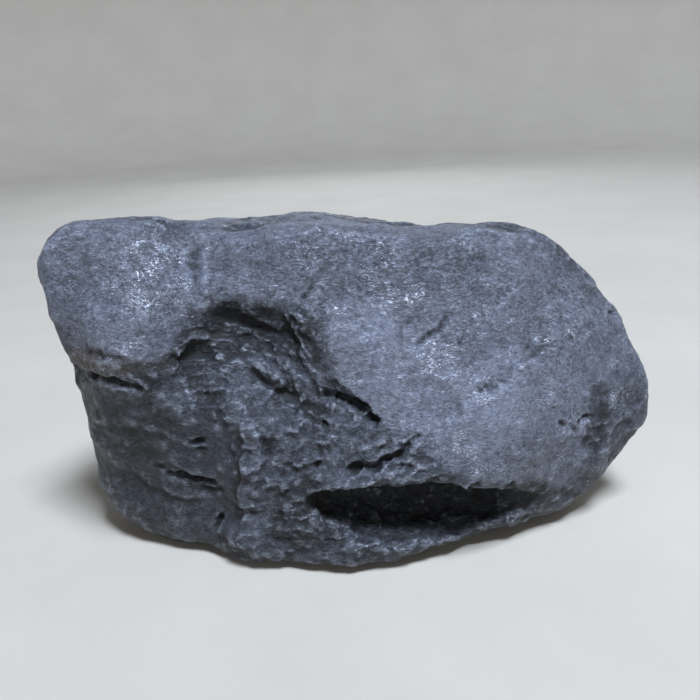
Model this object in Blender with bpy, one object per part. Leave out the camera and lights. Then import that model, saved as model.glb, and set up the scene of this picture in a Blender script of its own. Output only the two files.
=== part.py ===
"""A natural lump of shungite, one solid broken stone that rests on a flat underside.

All sizes below are millimetres: X runs along the stone, Y from its face to its back, Z up.
The form is made in this order: a cage of landmarks, an even skin over it, blows that break
hollows and ledges out of it, a rough fracture texture, a flat sole, and a light mesh.
"""

import bmesh
import bpy
import numpy as np
from mathutils import Vector, noise
from mathutils.geometry import delaunay_2d_cdt

NAME = "shungite_stone"
MM = 0.001

LENGTH = 216.0
DEPTH = 118.0
HEIGHT = 117.0

VOXEL = 2.0
SOFTEN_PASSES = 3
TRIANGLES = 9400

COLOUR = (0.052, 0.056, 0.068, 1.0)
ROUGHNESS = 0.55
METALLIC = 0.15

# The outline seen from the face, from the left tip over the top, down the right end and along the sole.
OUTLINE = [
    (-107.5, -22, 102), (-103, -19, 108.5), (-95, -16, 113.5), (-84, -9, 116.5), (-65, -8, 116.5),
    (-57, -2, 111.5),
    (-38, -12, 110.5), (-17, -15, 111), (0, -17, 109.8), (34, -18, 106.5), (54, -15, 106.5),
    (71, -9, 106),
    (85, -6, 95), (93.5, -6, 81), (107, -10, 75.5), (112, -12, 61), (111.8, -16, 47),
    (111.5, -20, 35), (106.5, -25, 25.5), (97, -28, 16), (86.5, -26, 6.5),
    (72, -15, -3), (40, 0, -4), (0, 0, -4), (-40, 0, -4), (-76, -5, -3), (-89.5, -12, 5),
    (-97, -20, 14), (-98.2, -15, 34), (-98.2, -18, 53), (-96.8, -21, 64),
    (-100, -25, 75.5), (-101.5, -24, 89),
]

# Landmarks of the face, by the form that they belong to.
FACE = {
    "lobe": [
        (-85, -21, 106), (-71, -28, 97), (-92, -26, 94), (-77, -39, 83.5),
        (-63, -36, 85), (-60, -21, 101), (-75, -16, 112), (-90, -32, 84),
    ],
    "ledge": [
        (-96, -29, 77), (-88, -38, 74.5), (-75, -43, 71), (-64, -43.5, 64), (-55, -43.5, 55.5),
        (-50, -43, 50),
    ],
    "under_ledge": [(-94, -22, 71), (-87, -30, 69), (-75, -35.5, 65), (-65, -37, 58), (-56, -38, 50)],
    "left_flank": [
        (-85, -33, 57), (-69, -38, 48), (-92.5, -28, 38), (-77, -34, 28), (-58, -38.5, 29),
        (-87, -31, 13), (-59, -42, 11), (-46, -43, 23), (-44, -41, 45.6),
    ],
    "valley": [(-53, -12, 102), (-52, -22, 90), (-54, -30, 82), (-51, -35, 70), (-46, -37, 58)],
    "brow": [
        (-46, -27, 88), (-38.5, -28, 89), (-28, -30, 88), (-15, -33, 84.5), (-9, -38, 74),
        (-4, -42, 67), (4, -46, 58),
    ],
    "forehead": [(-44, -16, 103), (-30, -21, 99)],
    "hollow": [
        (-38, -26, 84), (-27, -26, 83), (-36, -28, 77), (-25, -28, 75), (-15, -31, 77),
        (-12, -34, 72),
    ],
    "bench": [(-45, -36, 68.5), (-32, -36, 68), (-20, -36, 66), (-10, -39.5, 63)],
    "bowl": [(-41, -35.5, 64.5), (-28, -35.5, 62), (-18, -36.5, 59.5), (-6, -43, 57)],
    "spine": [(-37, -43, 60), (-36, -48.5, 50), (-37, -51, 36), (-38, -53.5, 12)],
    "chin": [(-20, -47, 47.5), (-7, -50.5, 45), (-21, -53, 32), (-31, -52, 21), (-9, -56, 38)],
    "lip": [
        (-21, -55, 29), (-7.5, -58.5, 34), (8, -59.5, 36), (21.6, -59.5, 36.5), (35, -57.5, 33.5),
        (48.5, -55, 29), (60, -49, 22.5), (72, -41, 15),
    ],
    "foot": [(-19, -57, 14), (3, -59, 14.5), (25, -57, 14), (50, -49, 13), (66, -42, 11)],
    "toe": [
        (-89, -24, 9), (-81, -31, 6), (-72, -36, 4.5), (-60, -42, 2.6), (-48, -47, 2.5),
        (-34, -51.5, 2.5),
        (-20, -56, 3), (-7, -58.5, 3.5), (8, -57, 4.5), (26, -52, 6), (42, -48, 6.3), (56, -45, 4),
        (71, -38, 5.5), (80, -33, 8),
    ],
    "sole": [
        (-74, -22, -2), (-66, -28, -2), (-55, -34, -2), (-40, -41, -2), (-22, -46, -2), (-5, -47, -2),
        (15, -43, -2), (40, -36, -2), (58, -26, -2),
    ],
    "great_face": [
        (-0.5, -23, 101), (-1.5, -32, 84), (15.6, -29, 88), (33, -26, 93), (50, -27, 87), (67.6, -22, 85),
        (14, -42.5, 65), (33, -47.5, 58.6), (52.5, -48.5, 51), (76, -38, 52.6), (41, -37, 70),
        (58, -33, 70),
        (70, -33.5, 64), (87, -20, 71), (26, -55, 47.5), (59, -50, 37), (83, -38, 37), (78, -37, 25),
        (100.5, -26, 46), (99.5, -30, 34),
    ],
}
FACE_CREASES = ("ledge", "under_ledge", "brow", "bench", "bowl", "spine", "lip", "foot", "toe", "sole")

# Landmarks of the back and the top.
BACK = {
    "rear_rim": [
        (-88, 8, 111), (-70, 28, 106.5), (-50, 40, 105), (-30, 36, 107.5), (-14, 40, 107), (4, 40, 106),
        (22, 34, 104.5), (44, 26, 104), (60, 12, 104.5), (74, 8, 100),
    ],
    "top": [
        (-75, 6, 115), (-60, 14, 109.5), (-38, 8, 110.5), (-20, 18, 109), (0, 12, 108), (24, 10, 105.8),
        (44, 4, 105),
    ],
    "left_end": [(-101, 0, 98), (-96, 2, 78), (-95, 4, 58), (-95.5, 4, 34), (-92.5, 6, 14)],
    "right_end": [
        (104, 4, 66), (107.5, 2, 54), (107.5, 3, 42), (101, 2, 29), (84, -4, 14), (89.5, 8, 80),
        (81, 10, 91),
    ],
    "shoulder": [
        (-94.5, 20, 90), (-88, 36, 78), (-68, 50, 70), (-44, 57, 76), (-20, 60, 70), (2, 57, 66),
        (24, 60, 58),
        (44, 54, 64), (62, 46, 66), (80, 37, 60), (95, 25, 52),
    ],
    "rear": [
        (-93.5, 20, 60), (-90, 28, 48), (-74, 42, 42), (-52, 54, 50), (-28, 58, 42), (-4, 55, 36),
        (20, 56, 34),
        (40, 50, 40), (60, 42, 36), (80, 32, 36), (96, 20, 38), (-60, 46, 88), (-34, 48, 92), (6, 52, 86),
        (34, 48, 84), (60, 36, 84), (80, 20, 78),
    ],
    "heel": [
        (-90, 12, 20), (-80, 28, 14), (-60, 42, 12), (-36, 50, 10), (-10, 50, 8), (14, 48, 8),
        (36, 42, 9),
        (58, 34, 10), (76, 20, 13),
    ],
    "rear_sole": [
        (-73, 10, -2), (-64, 24, -2), (-48, 34, -2), (-24, 40, -2), (0, 39, -2), (24, 37, -2),
        (46, 28, -2),
        (62, 12, -2),
    ],
}
BACK_CREASES = ("rear_rim", "shoulder", "heel", "rear_sole")

# Wedges broken out of the skin. Each is the hull of its mouth, outside, and its floor, inside.
BREAKS = {
    "undercut": [
        (-13, -70, 32), (8, -71, 34.5), (24, -71, 35.5), (38, -69, 32.5), (52, -66, 27), (-8, -70, 19.5),
        (4, -70, 13.5), (25, -69, 11), (44, -62, 11), (55, -60, 13.5),
        (-6, -42, 29), (10, -34, 30), (24, -30, 30), (46, -32, 25), (0, -42, 18), (28, -34, 13.5),
        (52, -36, 15),
    ],
    "undercut_left": [
        (-24, -66, 30.5), (-14, -70, 32), (-4, -70, 33.5), (-22, -66, 25), (-12, -70, 23), (0, -70, 18),
        (-17, -44, 27), (-2, -42, 28), (-4, -44, 20),
    ],
    "undercut_right": [
        (44, -66, 29.5), (56, -62, 26.5), (70, -56, 20), (44, -62, 14), (58, -58, 12.5), (71, -52, 13.5),
        (46, -36, 23), (62, -35, 16),
    ],
    "ledge_shadow": [
        (-112, -26, 72.5), (-112, -26, 66.5), (-86, -50, 71.5), (-86, -50, 66), (-63, -54, 61),
        (-63, -54, 57.5),
        (-46, -52, 49), (-46, -52, 47), (-97, -13, 74), (-86, -25, 73), (-71, -32, 68.5),
        (-57, -35, 58.5), (-49, -38, 53.5),
    ],
    "notch": [
        (-13, -50, 60.5), (-12, -50, 58), (3, -54, 58.5), (3.5, -54, 55), (-4, -52, 60.5),
        (-4, -52, 55.5),
        (-6, -34, 61.5), (0, -37, 60),
    ],
}

# Steps across the skin: the path, the height of the step, how far it fades, how sharp its edge is.
# Going along the path, the high side lies on the left as seen from outside the stone.
STEPS = [
    ([(-80, -34, 59), (-70, -37, 46), (-66, -37, 40), (-56, -39, 33.6), (-48.5, -43, 29)], 3.0, 12, 1.5),
    ([(86, -20, 73), (72, -28, 70.6), (63, -32, 69), (52, -38, 64.7), (46.6, -42, 61),
    (37, -45, 60)], 3.0, 16, 1.5),
    ([(-47, -28, 82), (-38, -28, 79), (-28, -29, 77), (-16, -32, 72)], 2.0, 5, 0.8),
    ([(-34, -50, 41), (-20, -50, 43), (-8, -52, 41), (4, -55, 39)], 2.0, 8, 1.0),
    ([(-30, -53, 17), (-16, -57, 20), (0, -58, 12), (20, -56, 9)], 2.0, 7, 1.0),
    ([(66, -49, 36), (76, -43, 40), (84, -37, 48), (92, -30, 56)], 2.5, 9, 1.2),
    ([(84, 30, 72), (58, 42, 78), (32, 49, 80), (4, 53, 88), (-30, 50, 92), (-60, 42, 92)], 4.5, 16, 1.2),
    ([(94, 22, 44), (60, 42, 36), (34, 52, 44), (6, 56, 42), (-22, 60, 50), (-52, 55, 56)], 5.0, 15, 1.2),
    ([(-50, 56, 66), (-70, 47, 58), (-88, 32, 60), (-98, 10, 56)], 4.0, 14, 1.2),
    ([(10, 52, 24), (-20, 54, 22), (-48, 48, 28), (-70, 38, 24)], 3.5, 10, 1.0),
    ([(-66, 30, 108), (-44, 20, 110), (-26, 4, 111), (-4, -8, 111)], 2.5, 12, 1.0),
    ([(62, -4, 107), (40, 8, 107), (22, 22, 107), (14, 36, 106)], 2.0, 10, 1.0),
    ([(104, -16, 40), (106, -2, 52), (100, 10, 66), (94, 14, 76)], 3.0, 10, 1.0),
    ([(-100, -16, 92), (-96, 2, 84), (-93, 16, 88)], 3.0, 12, 1.0),
]

# Cracks and slits: the path, the half width, the depth.
CRACKS = [
    ([(0.5, -47, 54), (4, -48, 53), (7, -49, 52)], 2.4, 4.5),
    ([(-4, -55.6, 38.5), (0.2, -55.5, 39.9), (4.5, -55.7, 40.9), (9, -55.6, 42.4),
    (12.7, -55.3, 43.8)], 2.3, 4.5),
    ([(-64, -37, 31), (-56.7, -39, 30.3), (-48, -43, 29.5)], 3.0, 4.5),
    ([(18.9, -37, 74.1), (22.4, -35, 76.2), (27, -33.5, 78.5), (31.3, -31, 82.8)], 1.9, 2.4),
    ([(-51, -44, 10), (-46, -45, 16.5)], 2.0, 3.0),
    ([(-18, -50, 53), (-11, -48, 51)], 2.0, 3.0),
    ([(72, -42, 44), (79, -38, 46), (85, -36, 40)], 2.2, 3.0),
    ([(44, 48, 86), (38, 54, 64), (46, 48, 38)], 5.0, 5.0),
    ([(-34, 50, 90), (-42, 57, 68), (-38, 57, 46)], 4.0, 4.0),
    ([(-10, 10, 109), (6, 22, 108), (16, 26, 106)], 2.4, 3.0),
    ([(-30, 58, 34), (-12, 55, 30), (8, 55, 34)], 3.0, 4.0),
]

# Shell-shaped scars of struck-off flakes: the middle, the way out, the radius, the depth.
SCARS = [
    ((-27, -40, 60), (0.1, -1, 0.3), 11, 2.5),
    ((-31, -29, 80), (0, -1, 0.1), 12, 2.0),
    ((-78, -34, 27), (-0.3, -1, 0), 30, 3.5),
    ((58, -51, 29), (0.4, -1, -0.4), 12, 2.5),
    ((107, -6, 62), (1, 0, 0.2), 24, 4.0),
    ((101, 4, 30), (0.9, 0.2, -0.4), 18, 4.0),
    ((98, 4, 84), (0.8, 0.3, 0.6), 40, 2.5),
    ((-60, 53, 78), (-0.3, 0.9, 0.5), 60, 6.0),
    ((-34, 58, 52), (0.2, 1, -0.2), 46, 5.0),
    ((14, 58, 66), (0.1, 1, 0.2), 52, 6.0),
    ((62, 44, 50), (0.6, 0.9, -0.1), 55, 5.0),
    ((-22, 58, 22), (0, 0.9, -0.4), 34, 4.0),
    ((-87, 30, 40), (-0.8, 0.7, -0.1), 50, 5.0),
    ((38, 44, 94), (0.2, 0.7, 0.7), 34, 4.0),
    ((-40, 46, 100), (-0.1, 0.7, 0.8), 40, 4.0),
    ((-34, 12, 111), (0, 0, 1), 48, 2.5),
    ((32, 18, 108), (0, 0, 1), 36, 2.0),
    ((-97.5, 0, 60), (-1, 0.1, -0.1), 26, 3.0),
    ((-97, 4, 103), (-0.8, 0.2, 0.5), 26, 3.0),
    ((30, 46, 14), (0.1, 0.8, -0.5), 20, 5.0),
]

# The rough fracture of the whole skin: bowls with sharp rims between them, then finer lumps.
BOWL_SIZE = 27.0
BOWL_HEIGHT = 4.0
LUMP_SIZE = 20.0
LUMP_HEIGHT = 1.9
CALM_CENTRE = (40, -42, 66)
CALM_REACH = (62, 26, 40)
CALM_SHARE = 0.75


def clear_scene():
    """Empties the scene."""
    for obj in list(bpy.data.objects):
        bpy.data.objects.remove(obj)


def add_object(name, mesh):
    """Puts a mesh in the scene."""
    obj = bpy.data.objects.new(name, mesh)
    bpy.context.scene.collection.objects.link(obj)
    return obj


def add_skin(groups, creases, points, faces, flip):
    """Spans one side of the cage over its landmarks, with an edge along every crease."""
    plan = [Vector((x, z)) for x, _, z in OUTLINE]
    own = []
    edges = []
    for name, group in groups.items():
        first = len(plan)
        plan += [Vector((x, z)) for x, _, z in group]
        own += group
        if name in creases:
            edges += [(first + i, first + i + 1) for i in range(len(group) - 1)]
    rim = len(OUTLINE)
    _, _, triangles, sources, _, _ = delaunay_2d_cdt(plan, edges, [list(range(rim))], 1, 1e-7)
    shift = len(points) - rim
    points += own
    for triangle in triangles:
        corners = [sources[corner][0] for corner in triangle]
        corners = [corner if corner < rim else corner + shift for corner in corners]
        faces.append(corners[::-1] if flip else corners)


def make_cage():
    """The coarse closed form: the face and the back, sewn along the outline."""
    points = list(OUTLINE)
    faces = []
    add_skin(FACE, FACE_CREASES, points, faces, flip=False)
    add_skin(BACK, BACK_CREASES, points, faces, flip=True)
    mesh = bpy.data.meshes.new(NAME)
    mesh.from_pydata([Vector(point) * MM for point in points], [], faces)
    return add_object(NAME, mesh)


def apply_modifiers(obj):
    """Swaps the object's mesh for its evaluated one."""
    graph = bpy.context.evaluated_depsgraph_get()
    mesh = bpy.data.meshes.new_from_object(obj.evaluated_get(graph))
    old = obj.data
    obj.modifiers.clear()
    obj.data = mesh
    bpy.data.meshes.remove(old)


def even_skin(obj, voxel, passes):
    """Spreads the points evenly over the skin and softens them a little."""
    remesh = obj.modifiers.new("Even", "REMESH")
    remesh.mode = "VOXEL"
    remesh.voxel_size = voxel * MM
    if passes:
        smooth = obj.modifiers.new("Soften", "SMOOTH")
        smooth.factor = 0.5
        smooth.iterations = passes
    apply_modifiers(obj)


def read_skin(obj):
    """The points, in millimetres, and their outward normals."""
    count = len(obj.data.vertices)
    points = np.empty(count * 3)
    normals = np.empty(count * 3)
    obj.data.vertices.foreach_get("co", points)
    obj.data.vertices.foreach_get("normal", normals)
    return points.reshape(-1, 3) / MM, normals.reshape(-1, 3)


def write_skin(obj, points):
    """Moves the points to the given places, in millimetres."""
    obj.data.vertices.foreach_set("co", (points * MM).ravel())
    obj.data.update()


def smooth_step(value):
    """0 below 0, 1 above 1, and an even rise between."""
    value = np.clip(value, 0, 1)
    return value * value * (3 - 2 * value)


def along_path(points, path):
    """For each point: its distance from the path, the offset, the share of the way, the way's direction."""
    path = np.array(path, float)
    spans = path[1:] - path[:-1]
    lengths = np.linalg.norm(spans, axis=1)
    starts = np.concatenate([[0], np.cumsum(lengths)])
    distance = np.full(len(points), np.inf)
    offset = np.zeros_like(points)
    share = np.zeros(len(points))
    heading = np.zeros_like(points)
    for start, span, length, begin in zip(path[:-1], spans, lengths, starts):
        step = np.clip(((points - start) @ span) / length**2, 0, 1)
        away = points - start - step[:, None] * span
        reach = np.linalg.norm(away, axis=1)
        near = reach < distance
        distance[near] = reach[near]
        offset[near] = away[near]
        share[near] = (begin + step[near] * length) / starts[-1]
        heading[near] = span / length
    return distance, offset, share, heading


def fade_ends(share, ends=0.25):
    """Falls to 0 at both ends of a path."""
    return np.sqrt(np.clip(np.minimum(share, 1 - share) / ends, 0, 1))


def add_step(points, normals, path, height, reach, edge):
    """Lifts the high side of a path and sinks the low side."""
    distance, offset, share, heading = along_path(points, path)
    side = np.einsum("ij,ij->i", np.cross(heading, offset), normals)
    fall = np.clip(1 - distance / reach, 0, 1) ** 1.5
    lift = 0.5 * height * np.tanh(side / edge) * fall * fade_ends(share)
    return points + normals * lift[:, None]


def add_crack(points, normals, path, half_width, depth):
    """Sinks a slit along a path."""
    distance, _, share, _ = along_path(points, path)
    sink = depth * smooth_step(1 - distance / half_width) * fade_ends(share)
    return points - normals * sink[:, None]


def add_scar(points, middle, way_out, radius, depth):
    """Presses the skin back to a ball that stands over it."""
    way = np.array(way_out, float)
    way /= np.linalg.norm(way)
    from_ball = points - (np.array(middle, float) + way * (radius - depth))
    along = from_ball @ way
    across = np.sum(from_ball**2, axis=1) - along**2
    bed = -np.sqrt(np.maximum(radius**2 - across, 0))
    inside = (along < 0) & (along > bed)
    return points + way * np.where(inside, bed - along, 0)[:, None]


def calm(points):
    """How calm the fracture is at each point: 1 on the great face, 0 away from it."""
    away = (points - np.array(CALM_CENTRE)) / np.array(CALM_REACH)
    return CALM_SHARE * smooth_step(1.6 - np.linalg.norm(away, axis=1))


def bowl_noise(point):
    """The distance to the nearest of a field of scattered middles."""
    return noise.voronoi(Vector(point) / BOWL_SIZE)[0][0]


def lump_noise(point):
    """Lumps of several sizes, on both sides of 0."""
    return noise.fractal(Vector(point) / LUMP_SIZE, 0.8, 2.0, 4)


def add_fracture(points, normals):
    """Gives the whole skin its bowls and lumps."""
    bowls = np.array([bowl_noise(point) for point in points])
    lumps = np.array([lump_noise(point) for point in points])
    lift = BOWL_HEIGHT * (bowls - bowls.mean()) + LUMP_HEIGHT * lumps
    return points + normals * (lift * (1 - calm(points)))[:, None]


def break_out(obj, name, points):
    """Cuts the hull of the points out of the stone."""
    form = bmesh.new()
    for point in points:
        form.verts.new(Vector(point) * MM)
    bmesh.ops.convex_hull(form, input=form.verts[:])
    bmesh.ops.recalc_face_normals(form, faces=form.faces[:])
    mesh = bpy.data.meshes.new(name)
    form.to_mesh(mesh)
    form.free()
    cutter = add_object(name, mesh)
    cutter.hide_render = True
    cutter.display_type = "WIRE"
    boolean = obj.modifiers.new(name, "BOOLEAN")
    boolean.operation = "DIFFERENCE"
    boolean.solver = "EXACT"
    boolean.object = cutter
    apply_modifiers(obj)
    bpy.data.objects.remove(cutter)


def thin_out(obj, triangles):
    """Keeps the given number of triangles, most of them where the form turns."""
    obj.data.calc_loop_triangles()
    light = obj.modifiers.new("Light", "DECIMATE")
    light.ratio = triangles / len(obj.data.loop_triangles)
    apply_modifiers(obj)


def cut_sole(obj):
    """Cuts the underside flat at height 0 and closes it with one face."""
    form = bmesh.new()
    form.from_mesh(obj.data)
    everything = form.verts[:] + form.edges[:] + form.faces[:]
    cut = bmesh.ops.bisect_plane(
        form, geom=everything, dist=0.01 * MM, plane_co=(0, 0, 0), plane_no=(0, 0, 1), clear_inner=True
    )
    rim = [part for part in cut["geom_cut"] if isinstance(part, bmesh.types.BMEdge)]
    bmesh.ops.holes_fill(form, edges=rim)
    bmesh.ops.recalc_face_normals(form, faces=form.faces[:])
    form.to_mesh(obj.data)
    form.free()


def fit_to_size(obj):
    """Brings the stone to its length, depth and height, with its origin under its middle, on the sole."""
    points, _ = read_skin(obj)
    low = points.min(axis=0)
    high = points.max(axis=0)
    middle = (low + high) / 2
    middle[2] = low[2]
    points = (points - middle) * (np.array([LENGTH, DEPTH, HEIGHT]) / (high - low))
    write_skin(obj, points)


def stone_material():
    """Dull graphite black with a faint metallic sheen."""
    material = bpy.data.materials.new("shungite")
    material.use_nodes = True
    shader = material.node_tree.nodes["Principled BSDF"]
    shader.inputs["Base Color"].default_value = COLOUR
    shader.inputs["Roughness"].default_value = ROUGHNESS
    shader.inputs["Metallic"].default_value = METALLIC
    return material


def carve(obj):
    """Works the steps, cracks, scars and rough fracture into the even skin."""
    for middle, way_out, radius, depth in SCARS:
        points, _ = read_skin(obj)
        write_skin(obj, add_scar(points, middle, way_out, radius, depth))
    points, normals = read_skin(obj)
    write_skin(obj, add_fracture(points, normals))
    for path, height, reach, edge in STEPS:
        points, normals = read_skin(obj)
        write_skin(obj, add_step(points, normals, path, height, reach, edge))
    for path, half_width, depth in CRACKS:
        points, normals = read_skin(obj)
        write_skin(obj, add_crack(points, normals, path, half_width, depth))


def make_stone():
    """The whole stone."""
    stone = make_cage()
    even_skin(stone, VOXEL, SOFTEN_PASSES)
    carve(stone)
    even_skin(stone, VOXEL, 0)
    for name, points in BREAKS.items():
        break_out(stone, name, points)
        even_skin(stone, VOXEL, 0)
    thin_out(stone, TRIANGLES)
    cut_sole(stone)
    fit_to_size(stone)
    stone.data.shade_flat()
    stone.data.materials.append(stone_material())
    return stone


clear_scene()
make_stone()
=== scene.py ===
"""The looks of a natural lump of shungite, one broken stone of dark carbon rock.

The stone is built again here, much finer than its solid: the same landmarks, blows, steps and
wedges, then troughs, facets, chips, scales, slits, pits and grain down to under a millimetre.
Lengths are millimetres unless a name says otherwise: X runs along the stone, Y from its face to
its back, Z up. The materials and lights work in metres, as Blender does.
"""

import logging
import math
from collections.abc import Iterable, Iterator, Sequence
from dataclasses import dataclass, field
from enum import Enum
from typing import Any, Protocol

import bmesh
import bpy
import numpy as np
from mathutils import Euler, Matrix, Vector, noise
from mathutils.geometry import delaunay_2d_cdt


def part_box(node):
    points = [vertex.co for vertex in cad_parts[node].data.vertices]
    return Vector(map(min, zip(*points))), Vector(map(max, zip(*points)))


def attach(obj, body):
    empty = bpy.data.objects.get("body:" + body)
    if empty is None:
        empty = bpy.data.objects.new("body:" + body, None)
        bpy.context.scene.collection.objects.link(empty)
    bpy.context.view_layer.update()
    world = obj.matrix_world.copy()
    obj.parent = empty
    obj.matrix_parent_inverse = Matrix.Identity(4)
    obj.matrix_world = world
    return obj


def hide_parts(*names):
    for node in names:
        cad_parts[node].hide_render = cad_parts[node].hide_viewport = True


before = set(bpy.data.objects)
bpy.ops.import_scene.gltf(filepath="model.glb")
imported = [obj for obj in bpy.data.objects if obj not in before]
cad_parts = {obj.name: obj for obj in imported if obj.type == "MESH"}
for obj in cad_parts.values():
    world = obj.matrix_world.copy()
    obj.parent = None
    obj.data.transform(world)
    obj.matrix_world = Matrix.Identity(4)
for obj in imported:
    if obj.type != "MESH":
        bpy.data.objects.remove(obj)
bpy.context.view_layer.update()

MM = 0.001
NODE = "shungite_stone"
LOG = logging.getLogger("shungite")

Point = tuple[float, float, float]
Spot = tuple[float, float]

# The outline seen from the face, from the left tip over the top, down the right end and along the sole.
OUTLINE = [
    (-107.5, -22, 102), (-103, -19, 108.5), (-95, -16, 113.5), (-84, -9, 116.5), (-65, -8, 116.5),
    (-57, -2, 111.5), (-38, -12, 110.5), (-17, -15, 111), (0, -17, 109.8), (34, -18, 106.5),
    (54, -15, 106.5), (71, -9, 106), (85, -6, 95), (93.5, -6, 81), (107, -10, 75.5), (112, -12, 61),
    (111.8, -16, 47), (112, -20, 35), (109, -25, 25.5), (99, -28, 16), (86.5, -26, 6.5), (72, -15, -3),
    (40, 0, -4), (0, 0, -4), (-40, 0, -4), (-76, -5, -3), (-89.5, -12, 5), (-97, -20, 14), (-98.2, -15, 34),
    (-98.2, -18, 53), (-96.8, -21, 64), (-100, -25, 75.5), (-101.5, -24, 89),
]

# Landmarks of the face, by the form that they belong to.
FACE = {
    "lobe": [
        (-85, -21, 106), (-71, -28, 97), (-92, -26, 94), (-77, -39, 83.5), (-63, -36, 85), (-60, -21, 101),
        (-75, -16, 112), (-90, -32, 84),
    ],
    "ledge": [
        (-96, -29, 77), (-88, -38, 74.5), (-75, -43, 71), (-64, -43.5, 64), (-55, -43.5, 55.5),
        (-50, -43, 50),
    ],
    "under_ledge": [
        (-94, -27, 70.5), (-87, -35.5, 68.5), (-75, -41, 64.5), (-65, -42, 57.5), (-56, -42.5, 50),
    ],
    "left_flank": [
        (-85, -35, 57), (-69, -38, 48), (-92.5, -28, 38), (-77, -34, 28), (-58, -38.5, 29), (-87, -31, 13),
        (-59, -42, 11), (-46, -43, 23), (-44, -41, 45.6),
    ],
    "valley": [(-53, -12, 102), (-52, -22, 90), (-54, -30, 82), (-51, -35, 70), (-46, -37, 58)],
    "brow": [
        (-46, -27, 88), (-38.5, -28, 89), (-28, -30, 88), (-15, -33, 84.5), (-9, -38, 74), (-4, -42, 67),
        (4, -46, 58),
    ],
    "forehead": [(-44, -16, 103), (-30, -21, 99)],
    "hollow": [
        (-38, -26, 84), (-27, -26, 83), (-36, -28, 77), (-25, -28, 75), (-15, -31, 77), (-12, -34, 72),
    ],
    "bench": [(-45, -36, 68.5), (-32, -36, 68), (-20, -36, 66), (-10, -39.5, 63)],
    "bowl": [(-41, -35.5, 64.5), (-28, -35.5, 62), (-18, -36.5, 59.5), (-6, -43, 57)],
    "spine": [(-37, -43, 60), (-36, -48.5, 50), (-37, -51, 36), (-38, -53.5, 12)],
    "chin": [(-20, -47, 47.5), (-7, -50.5, 45), (-21, -53, 32), (-31, -52, 21), (-9, -56, 38)],
    "lip": [
        (-21, -55, 29), (-7.5, -58.5, 34), (8, -59.5, 36), (21.6, -59.5, 36.5), (35, -57.5, 33.5),
        (48.5, -55, 29), (60, -49, 22.5), (72, -41, 15),
    ],
    "foot": [(-19, -57, 14), (3, -59, 10), (25, -57, 8), (50, -49, 9), (66, -42, 11)],
    "toe": [
        (-89, -24, 9), (-81, -31, 6), (-72, -36, 4.5), (-60, -42, 2.6), (-48, -47, 2.5), (-34, -51.5, 2.5),
        (-20, -56, 3), (-7, -58.5, 3.5), (8, -57, 4.5), (26, -52, 6), (42, -48, 6.3), (56, -45, 4),
        (71, -38, 5.5), (80, -33, 8),
    ],
    "sole": [
        (-74, -22, -2), (-66, -28, -2), (-55, -34, -2), (-40, -41, -2), (-22, -46, -2), (-5, -47, -2),
        (15, -43, -2), (40, -36, -2), (58, -26, -2),
    ],
    "great_face": [
        (-0.5, -23, 101), (-1.5, -32, 84), (15.6, -29, 88), (33, -26, 93), (50, -27, 87), (67.6, -22, 85),
        (14, -42.5, 65), (33, -47.5, 58.6), (52.5, -48.5, 51), (76, -38, 52.6), (41, -37, 70),
        (58, -33, 70), (70, -33.5, 64), (87, -20, 71), (26, -55, 47.5), (59, -50, 37), (83, -38, 37),
        (78, -37, 25), (100.5, -26, 46), (99.5, -30, 34),
    ],
}
FACE_CREASES = ("ledge", "under_ledge", "brow", "bench", "bowl", "spine", "lip", "foot", "toe", "sole")

# Landmarks of the back and the top.
BACK = {
    "rear_rim": [
        (-88, 8, 111), (-70, 28, 106.5), (-50, 40, 105), (-30, 36, 107.5), (-14, 40, 107), (4, 40, 104.5),
        (22, 34, 102.5), (44, 26, 102), (60, 12, 103), (74, 8, 100),
    ],
    "top": [
        (-75, 6, 112.5), (-60, 14, 109.5), (-38, 8, 110.5), (-20, 18, 109), (0, 12, 108), (24, 10, 105.8),
        (44, 4, 105),
    ],
    "left_end": [(-101, 0, 98), (-96, 2, 78), (-95, 4, 58), (-95.5, 4, 34), (-92.5, 6, 14)],
    "right_end": [
        (104, 4, 66), (107.5, 2, 54), (107.5, 3, 42), (101, 2, 29), (84, -4, 14), (89.5, 8, 80),
        (81, 10, 91),
    ],
    "shoulder": [
        (-94.5, 20, 90), (-88, 36, 78), (-68, 50, 70), (-44, 57, 76), (-20, 60, 70), (2, 57, 66),
        (24, 60, 58), (44, 54, 64), (62, 46, 66), (80, 37, 60), (95, 25, 52),
    ],
    "rear": [
        (-93.5, 20, 60), (-90, 28, 48), (-74, 42, 42), (-52, 54, 50), (-28, 58, 42), (-4, 55, 36),
        (20, 56, 34), (40, 50, 40), (60, 42, 36), (80, 32, 36), (96, 20, 38), (-60, 46, 88), (-34, 48, 92),
        (6, 52, 86), (34, 48, 84), (60, 36, 84), (80, 20, 78),
    ],
    "heel": [
        (-90, 12, 20), (-80, 28, 14), (-60, 42, 12), (-36, 50, 10), (-10, 50, 8), (14, 48, 8), (36, 42, 9),
        (58, 34, 10), (76, 20, 13),
    ],
    "rear_sole": [
        (-73, 10, -2), (-64, 24, -2), (-48, 34, -2), (-24, 40, -2), (0, 39, -2), (24, 37, -2), (46, 28, -2),
        (62, 12, -2),
    ],
}
BACK_CREASES = ("rear_rim", "shoulder", "heel", "rear_sole")

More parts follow.
